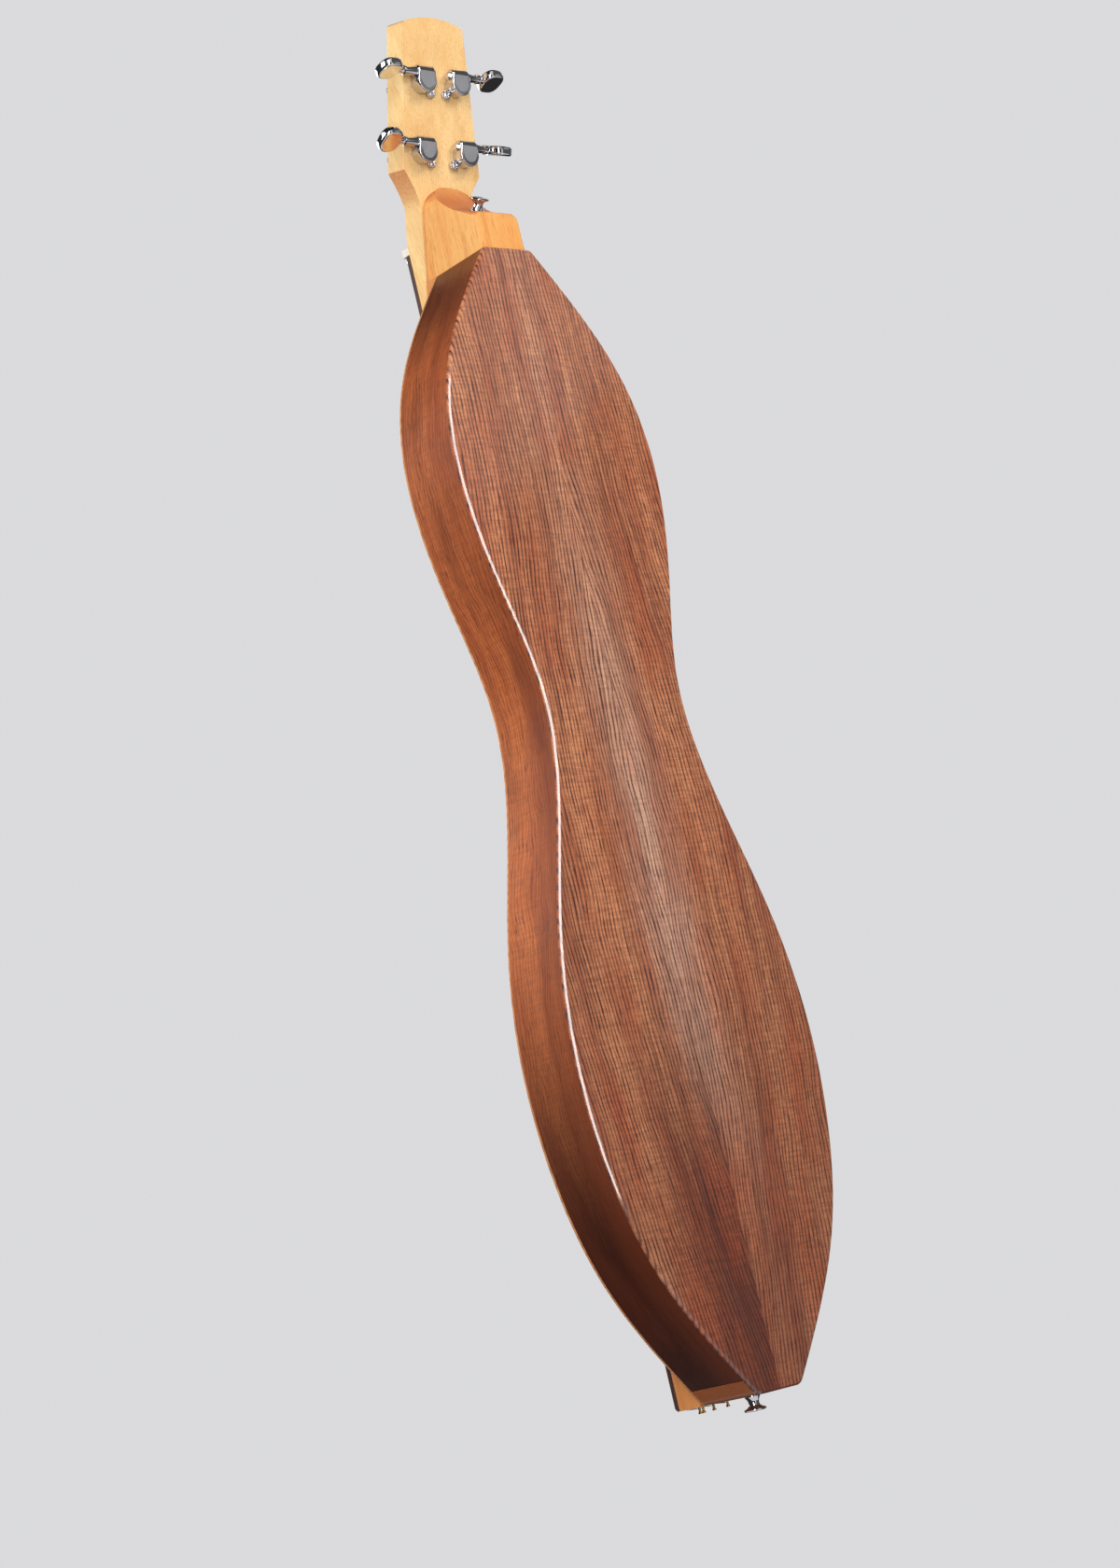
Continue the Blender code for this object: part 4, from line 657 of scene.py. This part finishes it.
def boxed(name, low, high):
    """A block between two corners."""
    bpy.ops.object.select_all(action="DESELECT")
    bpy.ops.mesh.primitive_cube_add(size=1, location=(Vector(low) + Vector(high)) / 2)
    block = bpy.context.object
    block.name = name
    block.scale = Vector(high) - Vector(low)
    bpy.ops.object.transform_apply()
    return block


board_top = BOARD_HIGH.z - FRET_HEIGHT
board = boxed("fingerboard_strip", (BOARD_LOW.x, BOARD_LOW.y, BOARD_LOW.z - GLUE_GAP),
              (BOARD_HIGH.x, BOARD_HIGH.y, board_top))
soften(board, STRIP_EDGE)


def dark_wood(name):
    material, shader, bench = new_material(name)
    made = figure(bench, bench.here(), light=tint(84, 52, 38), dark=tint(54, 32, 24), line=tint(26, 15, 12),
                  warm=tint(96, 54, 34), warm_share=0.3, line_share=0.6, rings_per_metre=500.0,
                  ring_share=0.3, pore_share=0.6, ripple_share=0.1, smoothest=0.32, roughest=0.5)
    surface(shader, bench, made["Color"], made, depth=0.00005)
    return material


DARK_WOOD = dark_wood("dark_fingerboard")
dress(board, DARK_WOOD, "body", "dark_fingerboard", "fingerboard")

board_points = [point.co for point in frame["nodes"]["fingerboard"].data.vertices]
fret_places = sorted({round(co.x, 5) for co in board_points if co.z > BOARD_HIGH.z - NEAR})


def fret_wire():
    """One fret at x = 0, an oval bar sunk to half its depth, its ends filed back."""
    bpy.ops.object.select_all(action="DESELECT")
    bpy.ops.mesh.primitive_cylinder_add(vertices=FRET_STEPS, radius=1, depth=1, location=(0, 0, board_top),
                                        rotation=(math.pi / 2, 0, 0))
    wire = bpy.context.object
    wire.scale = (FRET_WIDTH / 2, FRET_HEIGHT, BOARD_HIGH.y - BOARD_LOW.y)
    bpy.ops.object.transform_apply()
    crown = board_top + FRET_HEIGHT / 2
    shift_points(wire, lambda co: co.z > crown and co.y > 0, (0, -FRET_END_SLOPE, 0))
    shift_points(wire, lambda co: co.z > crown and co.y < 0, (0, FRET_END_SLOPE, 0))
    return wire


def moved(piece, matrix):
    """Sets a piece down in a new place, with the move kept in its mesh."""
    pick(piece)
    piece.matrix_world = matrix
    bpy.ops.object.transform_apply()
    return piece


def again(piece, name, matrix):
    """A copy of a piece with its own mesh, set in its own place."""
    copy = moved(set_down(name, piece.data.copy()), matrix)
    if matrix.is_negative:
        open_piece(copy)
        heal_normals()
        close_piece()
    return copy


def metal_wear():
    """Fine scratches and smudges for metals, as a roughness and a colour to multiply by."""
    group, bench, given, made = group_of("metal_wear", Vector=["Point"], Float=["Polished", "Dull"])
    smudge = bench.noise(given["Point"], (130, 130, 130), 4, 0.6)
    scratch = bench.noise(given["Point"], (2500, 300, 300), 2)
    both = bench.math("ADD", bench.times(smudge, 0.75), bench.times(scratch, 0.25))
    worn = bench.spread(both, 0.35, 0.65)
    bench.feed(made["Roughness"], bench.spread(worn, 0.0, 1.0, given["Polished"], given["Dull"]))
    bench.feed(made["Color"], bench.mix(worn, (1, 1, 1, 1), (0.94, 0.94, 0.95, 1)))
    bench.feed(made["Height"], scratch)
    return group


METAL_WEAR = metal_wear()
SCRATCH_DEPTH = 0.000002


def metal(name, colour, polished, dull):
    material, shader, bench = new_material(name)
    wear = bench.node("Group", bench.here(), polished, dull, node_tree=METAL_WEAR).outputs
    surface(shader, bench, bench.mix(1.0, colour, wear["Color"], "MULTIPLY"), wear, depth=SCRATCH_DEPTH)
    shader.inputs["Metallic"].default_value = 1.0
    return material


FRET_METAL = metal("fret_wire", tint(214, 210, 200), 0.18, 0.32)
first_fret = fret_wire()
for number, place in enumerate(fret_places):
    fret = again(first_fret, f"fret_{number}", Matrix.Translation((place, 0, 0)))
    dress(fret, FRET_METAL, "body", "steel")
bpy.data.objects.remove(first_fret, do_unlink=True)

# A bone nut and a bone saddle carry the strings, and a dark cap covers the
# beam's end with the saddle's slot sawn across it. Their edges are eased.
BONE_EDGE = 0.0002


def bone():
    material, shader, bench = new_material("bone")
    clouds = bench.noise(bench.here(), (60, 240, 240), 4, 0.6)
    colour = bench.mix(bench.spread(clouds, 0.35, 0.65), tint(240, 234, 220), tint(228, 218, 198))
    bench.dial(shader, {"Base Color": colour, "Roughness": bench.spread(clouds, 0.3, 0.7, 0.25, 0.4)})
    return material


BONE = bone()
for node in ("nut", "saddle"):
    dress(glued_down(node, "bone_" + node, BONE_EDGE), BONE, "body", "bone", node)
cap = glued_down("bridge_cap", "bridge_cap_strip", STRIP_EDGE)
dress(cap, DARK_WOOD, "body", "dark_fingerboard", "bridge_cap")

# The peghead is a cherry plate, scarfed to the beam and tilted back. Its
# shoulders are sawn in a curve, its tip is crowned and its edges are eased.
PEGHEAD_TILT = math.radians(14)
PEGHEAD_EDGE = 0.0007
peghead = copied_solid("peghead", "peghead_plate")
soften(peghead, PEGHEAD_EDGE, angle=35)
CHERRY_PEGHEAD = cherry("cherry_peghead", tint(246, 214, 152), tint(240, 198, 132), tint(204, 114, 56),
                        tint(214, 150, 88), streak_share=0.35, lean=-PEGHEAD_TILT)
dress(peghead, CHERRY_PEGHEAD, "body", "cherry_peghead", "peghead")

# Each tuner's gear turns in a cast and chromed cover with a flat end over the
# worm, a round end over the gear, a tapered tube for the key's shaft, a bearing
# boss on the other side and a round ear for its screw. From here on, what is
# turned on the lathe is measured in millimetres, and the rest in metres.
COVER_HALF_WIDTH = 0.0075
COVER_END_HALF_WIDTH = 0.0063
COVER_END = -0.0062
COVER_ROOF = -0.0087
COVER_FOOT = -0.0003
COVER_EDGE = 0.0012
COVER_STEPS = 40
ROOF_RIM = 0.0008
ROOF_CROWN = 0.00025
EAR_RADIUS = 0.0030
EAR_THICKNESS = 0.0015
EAR_TURN = math.radians(50)
EAR_REACH = 0.01025
EAR_EDGE = 0.0004
WORM_BAR_RADIUS = 4.2
WORM_BAR_BEVEL = 0.6
WORM_BAR_HALF_LENGTH = 6.5
TUBE_END = 16.5
BOSS_END = 8.7
LATHE_STEPS = 40
ALONG_Y = Matrix.Rotation(-math.pi / 2, 4, "X")
MIRROR = Matrix.Scale(-1, 4, (0, 1, 0))
TUNER_SIDES = {1: 1, 2: 1, 3: -1, 4: -1}
JOINTS = {joint["name"]: joint for joint in frame["joints"]}


def tuner_place(number):
    """The tuner's own frame: its post's axis is z, and y runs towards the peghead's edge on tuner 1."""
    joint = JOINTS[f"tuner_{number}_spindle_turn"]
    up = Vector(joint["axis"]).normalized()
    across = Vector((0, 1, 0))
    turn = Matrix((across.cross(up), across, up)).transposed().to_4x4()
    return Matrix.Translation(joint["pos_m"]) @ turn


# The worm's axis as it lies in the tuner's own frame
WORM = tuner_place(1).inverted() @ Vector(JOINTS["tuner_1_key_turn"]["pos_m"])


def turned(name, profile):
    """A shape turned on a lathe about the z axis, from (radius, height) pairs in millimetres."""
    line = draw_line(name, [Vector((radius, 0, height)) / 1000 for radius, height in profile], smooth=False)
    open_piece(line)
    bpy.ops.mesh.spin(steps=LATHE_STEPS, angle=math.tau, center=(0, 0, 0), axis=(0, 0, 1))
    heal_normals()
    close_piece()
    return line


def round_outline(radius, start, stop, steps):
    """Points of an arc about the origin."""
    turns = [start + (stop - start) * step / steps for step in range(steps + 1)]
    return [(radius * math.cos(turn), radius * math.sin(turn)) for turn in turns]


def tuner_cover():
    """Tuner 1's cover in the tuner's own frame, and where its ear stands."""
    outline = round_outline(COVER_HALF_WIDTH, -math.pi / 2, math.pi / 2, COVER_STEPS)
    outline += [(COVER_END, COVER_END_HALF_WIDTH), (COVER_END, -COVER_END_HALF_WIDTH)]
    cover = raised("tuner_cover", outline, COVER_ROOF, COVER_FOOT)
    open_piece(cover)
    choose(cover, "EDGE", lambda co: co.z < COVER_ROOF + NEAR)
    bpy.ops.mesh.bevel(offset=COVER_EDGE, segments=5, affect="EDGES", clamp_overlap=True)
    choose(cover, "FACE", lambda centre, normal: normal.z < -STRAIGHT_UP)
    bpy.ops.mesh.inset(thickness=ROOF_RIM, depth=0)
    bpy.ops.mesh.inset(thickness=ROOF_RIM, depth=ROOF_CROWN)
    close_piece()
    end, edge = WORM_BAR_HALF_LENGTH, WORM_BAR_RADIUS - WORM_BAR_BEVEL
    side = end - WORM_BAR_BEVEL
    bar = [(0, -end), (edge, -end), (WORM_BAR_RADIUS, -side), (WORM_BAR_RADIUS, side), (edge, end), (0, end)]
    tube = [(0, 0), (3.5, 0), (3.5, 5.5), (3.3, 7.2), (2.55, 11), (2.3, TUBE_END - 2.2),
            (2.3, TUBE_END - 1.8), (2.95, TUBE_END - 1.5), (2.95, TUBE_END - 0.3), (2.6, TUBE_END),
            (0, TUBE_END)]
    boss = [(0, 0), (2.3, 0), (2.3, BOSS_END - 0.4), (1.9, BOSS_END), (0, BOSS_END)]
    for name, profile, turn in (("worm_bar", bar, ALONG_Y), ("shaft_tube", tube, ALONG_Y),
                                ("bearing_boss", boss, ALONG_Y.inverted())):
        carve(cover, moved(turned(name, profile), Matrix.Translation(WORM) @ turn), "UNION")
    ear = raised("screw_ear", round_outline(EAR_RADIUS, 0, math.tau, COVER_STEPS)[:-1],
                 COVER_FOOT - EAR_THICKNESS, COVER_FOOT)
    soften(ear, EAR_EDGE, angle=60)
    place = Vector((EAR_REACH * math.cos(EAR_TURN), -EAR_REACH * math.sin(EAR_TURN), 0))
    carve(cover, moved(ear, Matrix.Translation(place)), "UNION")
    return cover, place


def tuner_setting(number):
    """Where a shape made for tuner 1 goes on one of the four tuners, mirrored on the bass side."""
    place = tuner_place(number)
    return place if TUNER_SIDES[number] > 0 else place @ MIRROR


def on_each_tuner(first, label, setting, material, body, slot, node):
    """Sets a copy of the first shape on each tuner, and puts the first away."""
    for number in TUNER_SIDES:
        piece = again(first, f"tuner_{number}_{label}", setting(number))
        dress(piece, material, body.format(number), slot, f"tuner_{number}_{node}")
    bpy.data.objects.remove(first, do_unlink=True)


COVER_METAL = metal("tuner_cover_metal", tint(212, 211, 215), 0.12, 0.2)
first_cover, EAR_PLACE = tuner_cover()
on_each_tuner(first_cover, "cover", tuner_setting, COVER_METAL, "body", "tuner_cover", "housing")

# A domed screw with a cross recess holds each cover's ear to the peghead.
SCREW_HEAD_RADIUS = 2.4
SCREW_DOME = 1.5
SCREW_LENGTH = 8.5
CROSS_TURN = math.radians(35)
CHROME = metal("chrome_plate", tint(226, 226, 230), 0.03, 0.08)


def cross_recess(head_top, half_length, half_width, depth):
    """The punch that leaves a cross in a screw's head, whose top faces down z."""
    punch = boxed("recess_punch", (-half_length, -half_width, head_top - depth),
                  (half_length, half_width, head_top + depth))
    other = boxed("recess_punch_arm", (-half_width, -half_length, head_top - depth),
                  (half_width, half_length, head_top + depth))
    return carve(punch, other, "UNION")


def domed_screw(name, radius, seat, dome, length):
    """A screw along z, all in millimetres: its head stands below the seat, its point above."""
    screw = turned(name, [(0, seat - dome), (0.3 * radius, seat - 0.98 * dome),
                          (0.6 * radius, seat - 0.86 * dome), (0.84 * radius, seat - 0.6 * dome),
                          (0.96 * radius, seat - 0.3 * dome), (radius, seat), (0.38 * radius, seat),
                          (0.38 * radius, seat + 0.8 * length), (0, seat + length)])
    top = (seat - dome) / 1000
    return carve(screw, cross_recess(top, 0.00062 * radius, 0.00017 * radius, 0.0006 * dome))


ear_face = (COVER_FOOT - EAR_THICKNESS) * 1000
first_screw = moved(domed_screw("cover_screw", SCREW_HEAD_RADIUS, ear_face, SCREW_DOME, SCREW_LENGTH),
                    Matrix.Translation(EAR_PLACE) @ Matrix.Rotation(CROSS_TURN, 4, "Z"))
on_each_tuner(first_screw, "ear_screw", tuner_setting, CHROME, "body", "chrome", "screw")

# The finger button is a cast and polished squarish oval with a flat on each
# side, pressed on the worm's shaft, so it turns with the key.
BUTTON_START = 0.0168
BUTTON_NECK = 0.003
BUTTON_LENGTH = 0.015
BUTTON_WIDTH = 0.017
BUTTON_THICKNESS = 0.006
BUTTON_SQUARENESS = 2.7
BUTTON_STEPS = 72
BUTTON_RIM = 0.0019
BUTTON_TURNS = {1: math.radians(129), 2: math.radians(112), 3: math.radians(62), 4: math.radians(100)}


def squarish(value):
    """Pulls a circle's coordinate out towards a square's."""
    return math.copysign(abs(value) ** (2 / BUTTON_SQUARENESS), value)


def finger_button():
    """The button along y, its width along x and its flats facing z."""
    middle = BUTTON_START + BUTTON_NECK + BUTTON_LENGTH / 2
    outline = [(BUTTON_WIDTH / 2 * squarish(x), middle + BUTTON_LENGTH / 2 * squarish(y))
               for x, y in round_outline(1, 0, math.tau, BUTTON_STEPS)[:-1]]
    half_depth = BUTTON_THICKNESS / 2
    head = raised("finger_button", outline, -half_depth, half_depth)
    open_piece(head)
    for side in (1, -1):
        choose(head, "EDGE", lambda co: co.z * side > half_depth - NEAR)
        bpy.ops.mesh.bevel(offset=BUTTON_RIM, segments=4, affect="EDGES")
    close_piece()
    foot = BUTTON_START * 1000
    neck = turned("button_neck", [(0, foot), (2.6, foot), (2.75, foot + 0.6), (2.3, foot + 1.6),
                                  (2.5, foot + 3.4), (2.2, foot + 6), (0, foot + 6)])
    return carve(head, moved(neck, ALONG_Y), "UNION")


def button_setting(number):
    """Where the button goes, turned as the photograph shows it."""
    side = TUNER_SIDES[number]
    turn = Matrix.Rotation(side * BUTTON_TURNS[number], 4, "Y")
    setting = tuner_place(number) @ Matrix.Translation(WORM) @ turn
    return setting if side > 0 else setting @ MIRROR


on_each_tuner(finger_button(), "finger_button", button_setting, CHROME, "tuner_{}_key", "chrome", "button")

# The worm and its shaft are turned steel. The post is nickel, with its gear
# cut below and a waist and a cross hole where the string is wound.
POST_EDGE = 0.00012
TURNED_STEEL = metal("turned_steel", tint(190, 190, 192), 0.25, 0.4)
NICKEL = metal("nickel_post", tint(222, 218, 208), 0.12, 0.25)
for number in TUNER_SIDES:
    refinish(TURNED_STEEL, f"tuner_{number}_worm_shaft")
    post = copied_solid(f"tuner_{number}_post", f"tuner_{number}_gear_post")
    soften(post, POST_EDGE, steps=2, angle=50)
    dress(post, NICKEL, f"tuner_{number}_spindle", "nickel_post", f"tuner_{number}_post")

# A chromed collar is pressed into the peghead's face round each post.
COLLAR_BORE = 3.12
COLLAR_RADIUS = 4.72
COLLAR_FLANGE = 6.0
PEGHEAD_FACE = 15.5
collar = turned("collar", [(COLLAR_BORE, 6.5), (COLLAR_RADIUS, 6.5), (COLLAR_RADIUS, PEGHEAD_FACE),
                           (COLLAR_FLANGE, PEGHEAD_FACE), (COLLAR_FLANGE, 16.4), (5.6, 17.0), (4.4, 17.4),
                           (3.5, 17.4), (COLLAR_BORE, 17.1), (COLLAR_BORE, 6.5)])
on_each_tuner(collar, "collar", tuner_place, CHROME, "body", "chrome", "bushing")

# Three plain steel strings and one wound one run from their brass pins over
# the saddle and the nut, and end in turns round their posts.
BRASS = metal("brass_pin", tint(214, 172, 96), 0.18, 0.35)
PLAIN_WIRE = metal("plain_string", tint(206, 206, 208), 0.15, 0.3)
WRAP_RATE = 12000.0


def wound_wire():
    """Bronze wire wrapped round a steel core, whose turns show as fine ridges along the string."""
    material, shader, bench = new_material("wound_string")
    ridge = bench.math("SINE", bench.times(bench.parts(bench.here())["X"], WRAP_RATE))
    # The colour darkens in the grooves between turns, as painted shade
    colour = bench.mix(bench.spread(ridge, -1.0, 1.0), tint(136, 100, 66), tint(206, 168, 124))
    bench.dial(shader, {"Base Color": colour, "Roughness": bench.spread(ridge, -1.0, 1.0, 0.45, 0.25),
                        "Normal": bench.relief(ridge, 0.00004), "Metallic": 1.0})
    return material


refinish(PLAIN_WIRE, *(f"string_{number}{part}" for number in (1, 2, 3) for part in ("", "_winding")))
refinish(wound_wire(), "string_4", "string_4_winding")
refinish(BRASS, "tail_pin_1", "tail_pin_2", "tail_pin_3", "tail_pin_4")

# A chromed strap button is screwed to the scooped heel and another to the
# middle of the tail, each turned with a foot, a waist and a wide flange.
STRAP_BUTTON_HEIGHT = 9.0


def strap_button(name, mount):
    """One strap button, set on its mount's axis with its end at the mount's point."""
    out = Vector(mount["axis"])
    button = turned(name, [(0, -14), (1.5, -11), (1.6, 0), (4.6, 0), (4.6, 0.5), (3.9, 1.5), (3.3, 2.8),
                           (3.1, 4.2), (3.3, 5.4), (4.4, 6.5), (6.1, 7.2), (6.6, 7.7), (6.6, 8.0),
                           (6.1, 8.5), (4.9, 8.75), (3.4, 8.75), (3.2, 8.55), (0, 8.55)])
    screw = domed_screw("strap_screw", radius=2.9, seat=-8.0, dome=1.0, length=3.0)
    moved(screw, Matrix.Rotation(math.pi, 4, "X"))
    carve(button, screw, "UNION")
    turn = out.to_track_quat("Z", "Y").to_matrix().to_4x4()
    end = Vector(mount["pos_m"]) - out * STRAP_BUTTON_HEIGHT / 1000
    return moved(button, Matrix.Translation(end) @ turn)


MOUNTS = {mount["name"]: mount for mount in frame["record"]["mounts"]}
for node in ("head_strap_button", "tail_strap_button"):
    button = strap_button(node + "_turned", MOUNTS[node + "_end"])
    dress(button, CHROME, "body", "chrome", node)

# The camera stands where the photograph was taken from: behind the back, past
# its lower edge, looking up at the head end.
CAMERA_FROM_HEAD = Vector((0.65617, 1.31601, -1.32300))
IMAGE_RIGHT = Vector((0.22558595, -0.73319821, -0.6415071))
IMAGE_DOWN = Vector((0.95884814, 0.05057143, 0.27937927))
FOCAL_PIXELS = 3438.7
IMAGE_HEIGHT = 1680
SENSOR = 36.0

camera_lens = bpy.data.cameras.new("camera")
camera_lens.sensor_fit = "VERTICAL"
camera_lens.sensor_height = SENSOR
camera_lens.lens = FOCAL_PIXELS * SENSOR / IMAGE_HEIGHT
camera = set_down("camera", camera_lens)
forward = IMAGE_RIGHT.cross(IMAGE_DOWN)
camera_turn = Matrix((IMAGE_RIGHT, -IMAGE_DOWN, -forward)).transposed().to_4x4()
camera.matrix_world = Matrix.Translation(CAMERA_FROM_HEAD + Vector((BODY_HEAD_X, 0, 0))) @ camera_turn
bpy.context.scene.camera = camera

# The floor is pale paint under the instrument's back, and fades into the pale
# room further out. Only the camera sees it, and only from above, because the
# photograph looks at the back from below it.
FLOOR_SIZE = 8
FLOOR_DROP = -0.0005
FLOOR_FADE_START = 0.55
FLOOR_FADE_END = 1.4
ROOM_COLOUR = (0.98, 0.98, 1.0, 1)
ROOM_SEEN = 0.72
bpy.ops.mesh.primitive_plane_add(size=FLOOR_SIZE, location=(0, 0, FLOOR_DROP))
floor = bpy.context.object
floor.name = "floor"
floor_paint, floor_shader, bench = new_material("floor_paint")
bench.dial(floor_shader, {"Base Color": (0.82, 0.82, 0.83, 1), "Roughness": 0.8})
not_camera = bench.math("SUBTRACT", 1.0, bench.node("LightPath").outputs["Is Camera Ray"])
seen_through = bench.math("MAXIMUM", bench.node("NewGeometry").outputs["Backfacing"], not_camera)
distance = bench.node("VectorMath", bench.here(), operation="LENGTH").outputs["Value"]
far = bench.spread(distance, FLOOR_FADE_START, FLOOR_FADE_END, smooth=True)
far_floor = bench.node("Emission", ROOM_COLOUR, ROOM_SEEN).outputs["Emission"]
fade = bench.node("MixShader", far, floor_shader.outputs["BSDF"], far_floor).outputs["Shader"]
clear = bench.node("BsdfTransparent").outputs["BSDF"]
choice = bench.node("MixShader", seen_through, fade, clear).outputs["Shader"]
bench.feed(floor_paint.node_tree.nodes["Material Output"].inputs["Surface"], choice)
floor.data.materials.append(floor_paint)


# Soft lamps light the back and the sides from the photograph's side, and one
# large lamp lights the strings' side from above.
def soft_lamp(name, place, target, size, watts):
    light = bpy.data.lights.new(name, "AREA")
    light.shape = "RECTANGLE"
    light.size, light.size_y = size
    light.energy = watts
    lamp = set_down(name, light)
    lamp.location = place
    lamp.rotation_euler = (Vector(target) - Vector(place)).to_track_quat("-Z", "Y").to_euler()
    return lamp


key_lamp = soft_lamp("key_lamp", (-1.1, -0.5, -1.4), (-0.1, 0, 0), (0.8, 0.8), watts=17)
key_lamp.visible_glossy = False
soft_lamp("strip_lamp", (-0.3, 1.1, -1.0), (-0.1, 0, 0), (2.2, 0.3), watts=22)
soft_lamp("side_lamp", (-0.9, 1.4, 0.6), (-0.2, 0, 0), (0.8, 0.8), watts=9)
soft_lamp("top_lamp", (-0.5, 0.1, 2.3), (0, 0, 0), (1.6, 1.6), watts=30)


# Grey cards stand round the set and show only in gloss and chrome, as the dark
# room does in the photograph.
def card(name, place, size, brightness):
    bpy.ops.mesh.primitive_plane_add(size=size, location=place)
    panel = bpy.context.object
    panel.name = name
    panel.rotation_euler = Vector(place).to_track_quat("Z", "Y").to_euler()
    paint, shader, bench = new_material(name + "_paint")
    bench.dial(shader, {"Base Color": (0, 0, 0, 1), "Specular IOR Level": 0.0,
                        "Emission Color": (brightness, brightness, brightness, 1), "Emission Strength": 1.0})
    panel.data.materials.append(paint)
    panel.visible_camera = False
    panel.visible_diffuse = False
    panel.visible_shadow = False


card("card_below", (-0.6, -1.8, -1.8), 5, brightness=0.1)
card("card_above", (0, 1.9, 1.7), 8, brightness=0.03)
card("card_behind_camera", (0.5, 2.9, -3.0), 5, brightness=0.01)
card("card_past_head", (-3.0, 0.3, 0.6), 6, brightness=0.02)
card("card_under_head", (-0.41, -0.33, -0.4), 0.26, brightness=0.46)
card("card_past_strings", (0.56, -1.04, 0.6), 2, brightness=0.03)

# The room is pale. What lights the object from all round is weaker than what
# the camera and the polished metal see.
ROOM_LIGHT = 0.3
room = bpy.data.worlds.new("room")
room.use_nodes = True
bpy.context.scene.world = room
bench = Bench(room.node_tree)
path = bench.node("LightPath").outputs
seen = bench.math("MAXIMUM", path["Is Camera Ray"], path["Is Glossy Ray"])
seen = bench.math("MAXIMUM", seen, path["Is Transmission Ray"])
strength = bench.spread(seen, 0.0, 1.0, ROOM_LIGHT, ROOM_SEEN)
bench.dial(room.node_tree.nodes["Background"], {"Color": ROOM_COLOUR, "Strength": strength})
bpy.context.scene.view_settings.view_transform = "Standard"
